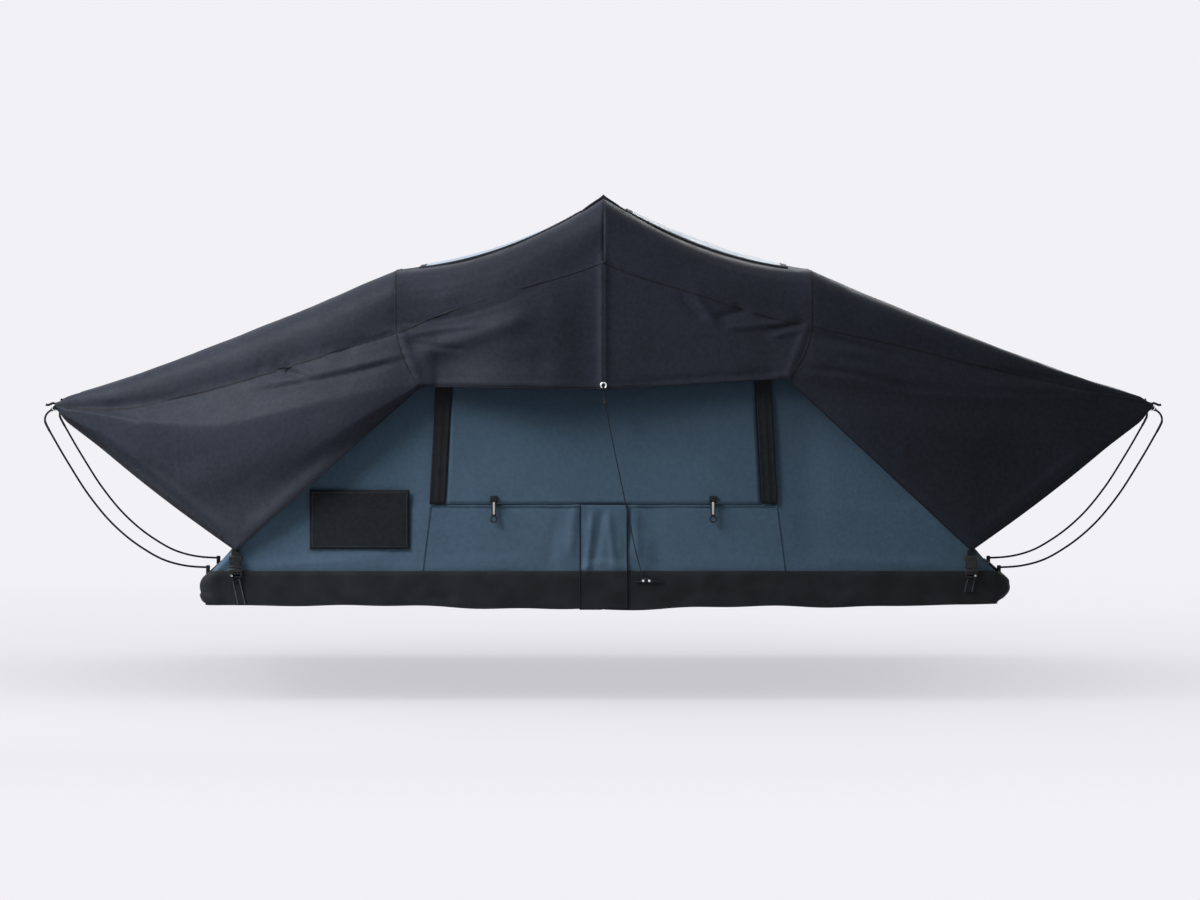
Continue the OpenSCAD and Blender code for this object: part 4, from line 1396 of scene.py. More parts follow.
@dataclass(frozen=True)
class Body:
    """One half of the canvas body: walls, roof and sloped end, with its panels."""

    side: Side
    fly: FlyShape = FlyShape()
    under: float = 0.0025
    wall_y: float = 0.944
    foot: Pair = (1.166, 0.098)
    low: float = 0.065
    slope: float = 1.03553
    curve: float = 1.09465
    cloth: float = 0.002
    window_z: float = 0.297
    window_top: float = 0.700
    strip: Triple = (0.495, 0.022, 0.046)
    panel: float = 0.0015
    seam_x: Pair = (0.072, 0.517)
    seam_half: float = 0.004
    seam_lifts: tuple[float, ...] = (0.0, 0.0012, 0.0016, 0.0012, 0.0)
    foot_seam: Pair = (0.514, 0.539)
    door_x: Pair = (0.712, 1.077)
    door_y: float = 0.6
    door_zip: float = 0.02

    def end_z(self, x: Array) -> Array:
        """Height of the sloped end."""
        run = self.foot[0] - x
        return self.foot[1] + self.slope * run + self.curve * run ** 2

    def top(self, x: Array) -> Array:
        """Height of the body's top."""
        return np.where(x <= self.fly.kink[0], self.fly.roof(x) - self.under, self.end_z(x))

    def at(self, x: Array, s: Array, face: Face) -> Array:
        """Place points on the body, from 0 at a wall's foot to 3 at the middle.

        Args:
            x: distance out from the hinge.
            s: place on the section.
            face: the front or rear half of the section.

        Returns:
            The points.
        """
        x, s = np.broadcast_arrays(np.asarray(x, float), np.asarray(s, float))
        wall = np.full(x.shape, self.wall_y)
        share = np.clip((x - self.fly.kink[0]) / (self.foot[0] - self.fly.kink[0]), 0.0, 1.0)
        bend = mix(self.fly.shoulder_r - self.under, 0.030, share)
        y, z = section(wall, np.full(x.shape, self.low), wall, self.top(x), bend, s)
        flat = 1.0 - ease(0.9, 1.3, s)
        points = places(x * self.side.value, face.value * y, z)
        points[..., 1] += face.value * self.waves(points) * flat
        return points

    def waves(self, points: Array) -> Array:
        """How far the wall's cloth stands out: less behind the window, more over the hinge.

        Args:
            points: places on the wall.

        Returns:
            The distances.
        """
        x, z = points[..., 0], points[..., 2]
        hinge = ease(0.17, 0.12, np.abs(x)) * ease(0.22, 0.17, z)
        out = 0.0045 * hinge - 0.004 - 0.003 * ease(0.288, 0.302, z)
        slack = 0.0022 * ripple(points, 0.22, 21.0) * (1.0 - 0.7 * hinge)
        out = out + creased(x, z, WALL_CREASES) + slack
        return out * mix(ease(self.low, 0.12, z), 1.0, hinge)

    def shell(self) -> None:
        """Build the walls, roof and end in one cloth."""
        xs = np.concatenate([np.linspace(NEAR_MIDDLE, self.fly.kink[0], 60),
                             np.linspace(self.fly.kink[0], self.foot[0], 50)[1:]])
        s = np.concatenate([np.linspace(0.0, 1.0, 44), np.linspace(1.0, 2.0, 20)[1:],
                            np.linspace(2.0, 3.0, 16)[1:]])
        grid = over_both(lambda face: self.at(xs[:, None], s[None], face))
        hem = grid[-1:].copy()
        hem[..., 0] += self.side.value * 0.001
        hem[..., 2] = np.minimum(hem[..., 2], self.low + 0.002)
        grid = np.concatenate([grid, hem])
        obj = grid_object(f"{self.side.word}_body_canvas", grid, CANVAS, self.side.flip)
        thicken(obj, self.cloth)
        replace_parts(obj, f"{self.side.word}_body")
        FAN.dress(obj)

    def plate(self, name: str, x: Array, z: Array, out: Array, face: Face, finish: Finish) -> Piece:
        """Lay a sewn-on piece over a wall, by its places, heights and distances out."""
        grid = places(x * self.side.value, face.value * (self.wall_y + out), z)
        return grid_object(name, grid, finish, self.side.flip != face.flip)

    def strip_at(self, z: Array) -> Array:
        """Middle of the zip strip at a height."""
        share = (z - self.window_z) / (self.window_top - self.window_z)
        return self.strip[0] - self.strip[1] * share

    def windows(self) -> None:
        """Build the window panel that runs right across each wall."""
        z = np.linspace(self.window_z, self.window_top, 36)
        edge = self.strip_at(z) - self.strip[2] / 2 - 0.004
        x = np.linspace(-1.0, 1.0, 80)[:, None] * edge
        rise = -0.0022 + 0.0008 * ripple(places(x, z, x), 0.15, 31.0)
        for face in Face:
            panel = self.plate(f"{face.word}_window_panel", x, z, rise, face, CANVAS)
            FAN.dress(thicken(panel, self.panel))
            if face is Face.FRONT:
                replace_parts(panel, "fixed_window_panels", "folding_window_panels")

    def zips(self) -> None:
        """Build the zip strip at the end of each wall's window panel."""
        z = np.linspace(self.window_z, self.window_top, 36)
        across = np.linspace(-0.5, 0.5, 13)[:, None]
        x = self.strip_at(z) + across * self.strip[2]
        teeth = 0.0016 * np.exp(-(across / 0.09) ** 2)
        rise = 0.0005 + teeth + 0.001 * (np.abs(across) > 0.4)
        for face in Face:
            name = f"{self.side.word}_{face.word}_zip_strip"
            strip = self.plate(name, x, z, rise, face, PATCH)
            FAN.dress(thicken(strip, self.panel))
            if face is Face.FRONT:
                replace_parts(strip, f"{self.side.word}_zip_strips")

    def seams(self) -> None:
        """Build the raised seams: one along each wall under its window, one down to its foot."""
        across = np.linspace(-self.seam_half, self.seam_half, len(self.seam_lifts))
        along = np.linspace(*self.seam_x, 60)[:, None]
        down = np.linspace(self.foot[1], self.window_z, 24)[:, None]
        lean = mix(*self.foot_seam, (self.window_z - down) / (self.window_z - self.foot[1]))
        ways = {"wall_seam": (along, self.window_z - 0.006 + across),
                "foot_seam": (lean + across, down)}
        for face in Face:
            for part, (x, z) in ways.items():
                grid = places(x * self.side.value, face.value * self.wall_y, z)
                grid[..., 1] += face.value * (self.waves(grid) + np.array(self.seam_lifts) + 0.0004)
                turned = (self.side.flip != face.flip) != (part == "wall_seam")
                name = f"{self.side.word}_{face.word}_{part}"
                FAN.dress(grid_object(name, grid, CANVAS_TRIM, turned))

    def door(self) -> None:
        """Build the end's door panel, with its zip round it."""
        top, low = self.door_x
        xs = np.linspace(top, low, 40)[:, None]
        ys = np.linspace(-self.door_y, self.door_y, 60)
        grid = places(xs, ys, self.end_z(xs))
        edge = np.minimum(np.minimum(xs - top, low - xs), self.door_y - np.abs(ys))
        zipper = 0.003 * np.exp(-((edge - self.door_zip) / 0.005) ** 2)
        lift = 0.0022 + zipper + 0.001 * ripple(grid, 0.14, 41.0)
        grid[..., 0] += 0.85 * lift
        grid[..., 2] += 0.53 * lift
        grid[..., 0] *= self.side.value
        obj = grid_object(f"{self.side.word}_door_panel", grid, CANVAS, self.side.flip)
        thicken(obj, self.panel)
        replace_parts(obj, f"{self.side.word}_door")
        FAN.dress(obj)

    def build(self) -> None:
        """Build this half of the body."""
        self.shell()
        self.zips()
        self.seams()
        self.door()
        if self.side is Side.FOLDING:
            self.windows()


@dataclass(frozen=True)
class LabelPatch:
    """The sewn patch on the front wall, left bare."""

    low: Pair = (-0.874, 0.163)
    high: Pair = (-0.577, 0.339)
    wall_y: float = -0.9434
    stitch_in: float = 0.008
    stitch: Pair = (0.005, 0.007)

    def build(self) -> None:
        """Build the patch and its row of stitches."""
        xs = np.linspace(self.low[0], self.high[0], 40)
        zs = np.linspace(self.low[1], self.high[1], 26)
        grid = places(xs[:, None], self.wall_y, zs)
        edge = np.minimum(np.minimum(xs - self.low[0], self.high[0] - xs)[:, None],
                          np.minimum(zs - self.low[1], self.high[1] - zs)[None])
        sewn = 0.0008 * np.exp(-((edge - self.stitch_in) / 0.002) ** 2)
        grid[..., 1] -= 0.0012 * ease(0.0, 0.004, edge) + 0.0006 - sewn
        patch = thicken(grid_object("label_patch_cloth", grid, PATCH), 0.0015)
        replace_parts(patch, "label_patch")
        FAN.dress(patch)
        FAN.dress(bmesh_object("label_patch_stitches", CANVAS_TRIM, self.sew))

    def sew(self, work: Work) -> None:
        """Add the stitches, in a row inside the patch's edge.

        Args:
            work: the mesh.
        """
        left, right = self.low[0] + self.stitch_in, self.high[0] - self.stitch_in
        low, high = self.low[1] + self.stitch_in, self.high[1] - self.stitch_in
        long, pitch = self.stitch
        half, soft = 0.0005, 0.0002
        front, back = self.wall_y - 0.0020, self.wall_y - 0.0010
        for x in np.arange(left, right, pitch):
            for z in (low, high):
                block(work, (x, front, z - half), (min(x + long, right), back, z + half), soft, 1)
        for z in np.arange(low, high, pitch):
            for x in (left, right):
                block(work, (x - half, front, z), (x + half, back, min(z + long, high)), soft, 1)


@dataclass(frozen=True)
class Gusset:
    """The flap over the hinge on one wall: canvas above, black sheet below."""

    face: Face
    half: float = 0.07
    low: float = 0.001
    split: float = 0.098
    top: float = 0.294
    y: float = 0.9523
    still: Pair = (0.12, 0.2)
    folds: tuple[tuple[float, float, float, float], ...] = (
        (-0.050, 0.10, 0.010, 0.0035), (-0.030, 0.16, 0.012, -0.003), (0.034, -0.12, 0.012, 0.003))

    def grid(self, low: float, high: float, rows: int) -> Array:
        """Place the flap's points between two heights.

        Each fold has its place, its lean, its width and its height.

        Args:
            low: where the points start.
            high: where they end.
            rows: how many heights they have.

        Returns:
            The points, across by up.
        """
        xs = np.linspace(-self.half, self.half, 61)
        x = np.repeat(xs[:, None], rows, axis=1)
        drop = 0.0155 + 0.003 * ease(0.010, -0.010, x)
        z = mix(low - drop * (low < self.split), high, np.linspace(0.0, 1.0, rows)[None])
        fold = sum(height * np.exp(-((x - at - lean * (z - 0.1)) / width) ** 2)
                   for at, lean, width, height in self.folds)
        arch = 0.003 * np.exp(-((z - 0.125 + 6.0 * x ** 2) / 0.014) ** 2)
        belly = 0.003 * np.cos(x / self.half * math.pi / 2) * ease(0.29, 0.2, z)
        held = ease(self.half, self.half - 0.02, np.abs(x))
        free = ease(0.294, 0.25, z) * ease(0.0, 0.03, z) * held
        y = self.y - 0.0055 * ease(0.10, 0.135, z)
        points = places(x, self.face.value * y, z)
        wave = 0.002 * ripple(points, 0.05, 7.0)
        out = (fold + belly + wave) * ease(0.07, 0.13, z) + arch * ease(0.09, 0.11, z)
        points[..., 1] += self.face.value * out * free
        return points

    def build(self) -> None:
        """Build the flap's two cloths and the bindings down its edges."""
        flip = self.face.flip
        word = self.face.word
        above, below = self.grid(self.split, self.top, 50), self.grid(self.low, self.split, 24)
        upper = grid_object(f"{word}_gusset_canvas", above, CANVAS, flip)
        lower = grid_object(f"{word}_gusset_skirt", below, SKIRT, flip)
        for obj, size in ((upper, 0.196), (lower, 0.110)):
            thicken(obj, 0.002)
            FAN.dress(obj, *self.still)
        if self.face is Face.FRONT:
            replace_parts(upper, "hinge_gussets")
        for edge, name in ((0, "left"), (-1, "right")):
            path = self.grid(self.low, self.top, 60)[edge]
            path[:, 1] += self.face.value * 0.0004
            binding = tube_object(f"{word}_gusset_{name}_binding", path, 0.0016, FLY_TRIM, 6)
            FAN.dress(binding, *self.still)


# The base


@dataclass(frozen=True)
class Skirt:
    """The black sheet round one half of the base."""

    side: Side
    near: float = 0.002
    end: float = 1.2
    front: float = 0.95
    corner: float = 0.04
    height: float = 0.098
    cloth: float = 0.0015
    strap_x: float = 1.094
    hem_r: float = 0.0024
    bulges: tuple[tuple[Pair, ...], ...] = (
        ((0.0, -0.017), (0.004, -0.010), (0.016, -0.001), (0.025, 0.002), (0.034, -0.001),
         (0.042, 0.001), (0.062, 0.001), (0.078, -0.007), (0.098, -0.030)),
        ((0.0, -0.052), (0.004, -0.038), (0.0134, -0.016), (0.027, 0.0), (0.046, 0.010),
         (0.059, 0.0086), (0.0725, 0.0065), (0.085, -0.006), (0.098, -0.024)))
    raised: Pair = (0.0, 0.004)

    def plan(self) -> tuple[Array, Array]:
        """Walk round the base from its front fold to its rear fold.

        Returns:
            Places in plan, and the way out at each.
        """
        turn = np.linspace(0.0, math.pi / 2, 9)[1:]
        first = [(math.sin(t), -math.cos(t)) for t in turn]
        last = [(math.cos(t), math.sin(t)) for t in turn]
        x, y = self.end - self.corner, self.front - self.corner
        rows = [(along, -self.front, 0.0, -1.0) for along in np.linspace(self.near, x, 100)]
        rows += [(x + self.corner * u, -y + self.corner * v, u, v) for u, v in first]
        rows += [(self.end, across, 1.0, 0.0) for across in np.linspace(-y, y, 120)[1:]]
        rows += [(x + self.corner * u, y + self.corner * v, u, v) for u, v in last]
        rows += [(along, self.front, 0.0, 1.0) for along in np.linspace(x, self.near, 100)[1:]]
        walk = np.array(rows)
        return walk[:, :2], walk[:, 2:]

    def build(self) -> None:
        """Build the sheet, with a top that leans in, a slack lower edge and the hem along it."""
        plan, out = self.plan()
        folding = self.side is Side.FOLDING
        share = np.linspace(0.0, 1.0, 30)
        x = plan[:, :1]
        slack = 0.003 * np.sin(9.0 * x + 1.1 * self.side.value)
        slack = slack + 0.002 * np.sin(23.0 * x + plan[:, 1:])
        slack = slack * (1.0 - 0.6 * ease(0.7, 1.0, x))
        hang = 0.001 + 0.0125 * np.abs(1.0 - x / self.end) ** 1.5 + slack
        hang = hang - self.raised[folding] * ease(1.08, self.end, x)
        z = share[None] * self.height - hang * (1.0 - share[None]) ** 2
        points = places(x, plan[:, 1:], z)
        on_end = np.abs(out[:, :1]) ** 4
        strapped = ease(0.045, 0.022, np.abs(x - self.strap_x)) * (1.0 - on_end)
        free = ease(0.072, 0.13, x) * (1.0 - strapped)
        wave = 0.006 * ripple(points, 0.11, 2.0) + 0.002 * ripple(points, 0.035, 4.0)
        bulge = flow(np.clip(z, 0.0, self.height), self.bulges[folding])
        round_in = np.where(bulge < 0.0, np.abs(out[:, :1]), on_end)
        push = free * np.maximum(wave, 0.0) * (1.0 - on_end) + round_in * bulge
        push = push - 0.003 * (1.0 - on_end) * ease(0.085, self.height, z)
        points[..., 0] += out[:, :1] * push
        points[..., 1] += out[:, 1:] * push
        points[..., 0] *= self.side.value
        name = f"{self.side.word}_skirt_sheet"
        obj = thicken(grid_object(name, points, SKIRT, self.side.flip), self.cloth)
        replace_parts(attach(obj, self.side.base), f"{self.side.word}_skirt")
        hem = tube_object(f"{self.side.word}_skirt_hem", points[:, 0], self.hem_r, SKIRT)
        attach(hem, self.side.base)


@dataclass(frozen=True)
class Mattress:
    """One half of the quilted mattress."""

    side: Side
    low: Triple = (0.026, -0.845, 0.0602)
    high: Triple = (1.148, 0.845, 0.1075)
    quilt: float = 0.14

    def build(self) -> None:
        """Build a crowned, quilted pad whose two sheets meet in a seam round its edge."""
        size = np.array(self.high) - np.array(self.low)
        middle = (np.array(self.high) + np.array(self.low)) / 2
        u, v = np.linspace(-1.0, 1.0, 81), np.linspace(-1.0, 1.0, 111)
        gu, gv = np.meshgrid(u, v, indexing="ij")
        edge = (1.0 - np.abs(gu) ** 10) * (1.0 - np.abs(gv) ** 14)
        x, y = gu * size[0] / 2, gv * size[1] / 2
        lines = [np.abs(np.sin(math.pi * way / self.quilt)) for way in (x + y, x - y)]
        stitch = np.minimum(*lines)
        crown = np.clip(edge, 0.0, 1.0) ** 0.25 * (0.86 + 0.14 * stitch ** 0.4)
        plan = np.stack([(middle[0] + x) * self.side.value, middle[1] + y], axis=-1)
        rise = (crown * size[2] / 2)[..., None]
        sheets = [np.concatenate([plan, middle[2] + way * rise], axis=-1) for way in (1, -1)]
        top = grid_object(f"{self.side.word}_mattress_pad", sheets[0], FOAM)
        under = grid_object("mattress_under", sheets[1], FOAM)
        work = bmesh.new()
        work.from_mesh(top.data)
        work.from_mesh(under.data)
        bmesh.ops.remove_doubles(work, verts=work.verts, dist=1e-5)
        bmesh.ops.recalc_face_normals(work, faces=work.faces)
        work.to_mesh(top.data)
        work.free()
        spare = under.data
        bpy.data.objects.remove(under)
        bpy.data.meshes.remove(spare)
        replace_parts(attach(top, self.side.base), f"{self.side.word}_mattress")


# Straps, buckles and small trim


@dataclass(frozen=True)
class AtCorner:
    """What each corner of the tent has one of."""

    side: Side
    face: Face

    @property
    def tag(self) -> str:
        """The corner's words in piece names."""
        return f"{self.face.word}_{self.side.hand}"


@dataclass(frozen=True)
class Corner(AtCorner):
    """One corner's strap and side-release buckle."""

    x: float = 1.094
    back: float = 0.9527
    thick: float = 0.012
    socket: Pair = (0.1065, 0.1445)
    prong: Pair = (0.0785, 0.1055)
    strap: float = 0.025
    webbing_thick: float = 0.0015
    cut_end: float = 0.035
    tucked_end: float = -0.004
    lean: float = -0.017
    edge: Pair = (0.003, 0.0105)
    tail: Pair = (0.010, 0.012)

    def place(self, x: float, out: float, z: float) -> Triple:
        """Put a point given by the corner's own sizes into the tent's frame."""
        return self.side.value * self.x + x, self.face.value * (self.back + out), z

    def part(self, work: Work, x: Pair, out: Pair, z: Pair, soft: float) -> None:
        """Add a rounded block, given by its spans."""
        a, b = self.place(x[0], out[0], z[0]), self.place(x[1], out[1], z[1])
        block(work, [min(p) for p in zip(a, b)], [max(p) for p in zip(a, b)], soft)

    def shape_socket(self, work: Work) -> None:
        """Add the socket: a roof, a waist between the release windows, a mouth and ribs.

        Args:
            work: the mesh.
        """
        low, high = self.socket
        self.part(work, (-0.020, 0.020), (0.0, self.thick), (high - 0.017, high), 0.003)
        waist = 0.0005, self.thick - 0.0003
        self.part(work, (-0.0125, 0.0125), waist, (low + 0.005, high - 0.012), 0.0015)
        self.part(work, (-0.0195, 0.0195), (0.0, self.thick), (low, low + 0.007), 0.002)
        proud = self.thick - 0.001, self.thick + 0.0006
        for rise in (0.021, 0.026, 0.031):
            self.part(work, (-0.010, 0.010), proud, (low + rise, low + rise + 0.002), 0.0005)

    def shape_prong(self, work: Work) -> None:
        """Add the prong half: a ladder for the strap, two springy arms and a guide.

        Args:
            work: the mesh.
        """
        low, high = self.prong
        core = 0.0036, 0.0084
        self.part(work, (-0.0185, 0.0185), (0.0, self.thick), (high - 0.012, high), 0.003)
        for x in ((-0.0185, -0.0140), (0.0140, 0.0185)):
            self.part(work, x, (0.0005, self.thick - 0.0005), (low, high - 0.006), 0.0015)
        for z in (low, low + 0.009):
            self.part(work, (-0.0175, 0.0175), (0.001, self.thick - 0.001), (z, z + 0.004), 0.0015)
        for x in ((-0.0180, -0.0132), (0.0132, 0.0180)):
            self.part(work, x, core, (high - 0.004, high + 0.021), 0.0015)
        self.part(work, (-0.0025, 0.0025), core, (high - 0.004, high + 0.020), 0.001)

    def webbing(self, name: str, path: Sequence[Pair], lean: float = 0.0,
                width: float = 0.025, shift: float = 0.0, finish: Finish = WEBBING) -> Piece:
        """Build a strap along a path.

        Args:
            name: the strap's name.
            path: distances out from the corner and heights, down its middle.
            lean: how far its lower end shifts sideways.
            width: the strap's width.
            shift: how far it sits to the side of the buckle's middle.
            finish: what it is made of.

        Returns:
            The strap.
        """
        line = even_path(path, 30)
        share = np.linspace(0.0, 1.0, len(line))[:, None]
        across = np.linspace(-0.5, 0.5, 9)
        selvedge = 0.0004 * (np.abs(across) > 0.35)
        x = self.side.value * self.x + shift + across * width + lean * share
        y = self.face.value * (self.back + line[:, :1] + selvedge)
        grid = places(x, y, line[:, 1:])
        return thicken(grid_object(name, grid, finish, self.face.flip), self.webbing_thick, 0.0)

    def follow(self, obj: Piece, foot: float) -> Piece:
        """Bake a piece's placement into its mesh; it is not made to drop with the prong half.

        Args:
            obj: the piece.
            foot: height of the strap's lower end, which stays where it is tucked under the base;
                not used.

        Returns:
            The piece.
        """
        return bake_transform(obj)

    def shape_bead(self, work: Work) -> None:
        """Add the little ring on the strap's free tail."""
        middle = self.place(self.tail[1] * self.side.value, 0.0150, self.prong[0] + 0.0055)
        hoop(work, middle, 0.0022, 0.0010, turns=18, sides=8)

    def build(self) -> None:
        """Build the buckle, the strap with its edges and free tail, and the loop that holds it."""
        socket = bmesh_object(f"{self.tag}_buckle_socket", BUCKLE, self.shape_socket)
        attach(socket, self.side.base)
        prong = bmesh_object(f"{self.tag}_buckle_prong", BUCKLE, self.shape_prong)
        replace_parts(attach(prong, f"buckle_{self.tag}"), f"buckle_prong_{self.tag}")
        low, top = self.prong[0], self.socket[1]
        short = self.side is Side.FOLDING and self.face is Face.FRONT
        cut = self.cut_end if short else self.tucked_end
        lean = self.lean * self.side.value * (1.0 - cut / low)
        line = [(0.0045, low + 0.006), (0.006, low - 0.004), (0.0022, low - 0.018), (0.0012, cut)]
        strap = self.follow(self.webbing(f"{self.tag}_strap", line, lean), cut)
        over = [(out + 0.0008, z) for out, z in line[1:]]
        # The edge strips are lighter grey: an edge binding, with painted sheen along the strap's
        # edges.
        width, shift = self.edge
        for way in (-1.0, 1.0):
            name = f"{self.tag}_strap_edge_{'inner' if way * self.side.value < 0 else 'outer'}"
            self.follow(self.webbing(name, over, lean, width, shift * way, EDGE_BINDING_AND_SHEEN), cut)
        free = [(0.0122, low + 0.020), (0.0132, low + 0.010), (0.0128, low - 0.006)]
        width, shift = self.tail
        tail = self.webbing(f"{self.tag}_strap_tail", free, 0.0, width, shift * self.side.value)
        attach(tail, f"buckle_{self.tag}")
        bead = bmesh_object(f"{self.tag}_strap_tail_ring", ZINC, self.shape_bead)
        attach(bead, f"buckle_{self.tag}")
        bent = [(0.0060, top - 0.003), (0.0055, top + 0.004), (0.0030, top + 0.016)]
        loop = self.webbing(f"{self.tag}_webbing_loop", bent)
        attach(loop, self.side.base)
        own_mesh(loop)
        if self.face is Face.FRONT:
            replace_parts(socket, f"{self.side.word}_buckle_sockets")
            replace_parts(strap, f"{self.side.word}_corner_straps")


@dataclass(frozen=True)
class PullTab:
    """A pull tab under the window, on its sewn anchor."""

    side: Side
    pivot: Triple = (0.326, -0.952, 0.309)
    length: float = 0.048
    width: float = 0.014

    @property
    def middle(self) -> Triple:
        """The middle of the tab's pin."""
        return self.side.value * self.pivot[0], self.pivot[1], self.pivot[2]

    def shape_anchor(self, work: Work) -> None:
        """Add the anchor's two lugs and the strip that they stand on.

        Args:
            work: the mesh.
        """
        x, y, z = self.middle
        for lug in (-0.0105, 0.0075):
            block(work, (x + lug, y - 0.0042, z - 0.0042),
                  (x + lug + 0.003, -0.9468, z + 0.0042), 0.001)
        block(work, (x - 0.011, -0.9482, z - 0.009), (x + 0.011, -0.9412, z + 0.012), 0.0006)

    def shape_tab(self, work: Work) -> None:
        """Add the tab: an eye, a strip and the ring at its end.

        Args:
            work: the mesh.
        """
        x, y, z = self.middle
        half = self.width / 2
        block(work, (x - half, y - 0.0042, z - 0.0042), (x + half, y + 0.0042, z + 0.0042),
              0.0025, 3)
        block(work, (x - half, y - 0.0015, z - self.length), (x + half, y + 0.0015, z - 0.002),
              0.0012)
        hoop(work, (x, y, z - self.length - 0.009), 0.009, 0.0022)

    def shape_bar(self, work: Work) -> None:
        """Add the bright bar down the tab's front."""
        x, y, z = self.middle
        block(work, (x - 0.0032, y - 0.0032, z - self.length + 0.005),
              (x + 0.0032, y - 0.001, z - 0.006), 0.001, 3)

    def build(self) -> None:
        """Build the anchor, the tab and its bar."""
        anchor = bmesh_object(f"{self.side.hand}_tab_anchor", PLASTIC, self.shape_anchor)
        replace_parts(anchor, f"{self.side.word}_tab_anchor")
        FAN.dress(anchor)
        tab = bmesh_object(f"{self.side.hand}_pull_tab", PLASTIC, self.shape_tab)
        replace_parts(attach(tab, f"tab_{self.side.hand}"), f"pull_tab_{self.side.hand}")
        bar = bmesh_object(f"{self.side.hand}_pull_tab_bar", ZINC, self.shape_bar)
        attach(bar, f"tab_{self.side.hand}")
        for obj in (tab, bar):
            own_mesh(obj)


@dataclass(frozen=True)
class GuyLine:
    """The cord from the porch eyelet down to the hook, with its lock."""

    route: tuple[Triple, ...] = (
        (0.000, -1.010, 0.640), (0.002, -1.009, 0.620), (0.005, -1.007, 0.600),
        (0.014, -1.002, 0.550), (0.034, -0.992, 0.450), (0.055, -0.981, 0.350),
        (0.076, -0.971, 0.250), (0.097, -0.961, 0.150), (0.108, -0.956, 0.110),
        (0.119, -0.954, 0.075))
    diameter: float = 0.003
    lock: Triple = (0.005, -1.007, 0.600)
    eyelet: Pair = (1.010, 0.651)
    hook: Triple = (0.133, -0.9535, 0.0714)

    def path(self) -> Array:
        """Points down the cord's middle, close together."""
        return even_path(self.route, 90)

    def shape_hook(self, work: Work) -> None:
        """Add the hook: a low cleat in three steps.

        Args:
            work: the mesh.
        """
        x, y, z = self.hook
        block(work, (x - 0.038, y - 0.0025, z - 0.008), (x + 0.044, y + 0.003, z - 0.003), 0.002)
        block(work, (x - 0.024, y - 0.0035, z - 0.008), (x + 0.026, y + 0.003, z + 0.001), 0.003)
        block(work, (x - 0.016, y - 0.0045, z - 0.006), (x + 0.004, y + 0.003, z + 0.007), 0.003)

    def shape_rivets(self, work: Work) -> None:
        """Add the hook's two rivets.

        Args:
            work: the mesh.
        """
        for off in (-0.015, 0.003):
            x, y, z = self.hook[0] + off, *self.hook[1:]
            block(work, (x - 0.0035, y - 0.0062, z - 0.006), (x + 0.0035, y - 0.003, z + 0.001),
                  0.0025, 3)

    def shape_lock(self, work: Work) -> None:
        """Add the cord lock: a barrel and the button on its end.

        Args:
            work: the mesh.
        """
        x, y, z = self.lock
        block(work, (x - 0.0055, y - 0.0055, z - 0.009), (x + 0.0055, y + 0.0055, z + 0.006),
              0.003, 3)
        block(work, (x - 0.004, y - 0.004, z + 0.005), (x + 0.004, y + 0.004, z + 0.010), 0.002, 3)

    def build(self) -> None:
        """Build the cord, its lock and its hook, and the porch eyelets."""
        path = self.path()
        cord = tube_object("guy_line", path, self.diameter / 2, CORD, 8)
        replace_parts(FAN.dress(cord), "guy_cord")
        lock = bmesh_object("guy_line_lock", PLASTIC, self.shape_lock)
        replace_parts(FAN.dress(lock), "cord_lock")
        hook = bmesh_object("guy_line_hook", PLASTIC, self.shape_hook)
        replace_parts(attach(hook, Side.FOLDING.base), "guy_hook")
        rivets = bmesh_object("guy_line_hook_rivets", BRIGHT, self.shape_rivets)
        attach(rivets, Side.FOLDING.base)
        for face in Face:
            middle = (0.0, face.value * self.eyelet[0], self.eyelet[1])
            eyelet = bmesh_object(f"{face.word}_porch_ring", BRIGHT,
                                  lambda work: hoop(work, middle, 0.0078, 0.0027))
            FAN.dress(eyelet)
            if face is Face.FRONT:
                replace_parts(eyelet, "porch_eyelets")


@dataclass(frozen=True)
class TipHook(AtCorner):
    """The bent tail of one awning rod's hook, which keeps the cloth on it."""

    rod_y: float = 0.700
    marks: tuple[Pair, ...] = (
        (1.6350, 0.5835), (1.6362, 0.5885), (1.6395, 0.5930), (1.6445, 0.5948), (1.6510, 0.5925),
        (1.6585, 0.5890), (1.6640, 0.5893), (1.6665, 0.5908))
    wire: float = 0.0035
    ring: Triple = (1.6389, 0.711, 0.581)

    def shape_ring(self, work: Work) -> None:
        """Add the grommet that the hook goes through."""
        x, y, z = self.ring
        hoop(work, (self.side.value * x, self.face.value * y, z), 0.008, 0.002)

    def build(self) -> None:
        """Build the tail and the grommet."""
        x, z = even_path(self.marks, 30).T
        path = places(self.side.value * x, self.face.value * self.rod_y, z)
        tail = tube_object(f"{self.tag}_hook_tail", path, self.wire, SPRING, 10)
        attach(tail, self.side.awning)
        ring = bmesh_object(f"{self.tag}_tip_ring", BRIGHT, self.shape_ring)
        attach(ring, self.side.awning)
        if self.face is Face.FRONT:
            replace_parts(ring, f"{self.side.word}_tip_grommets")


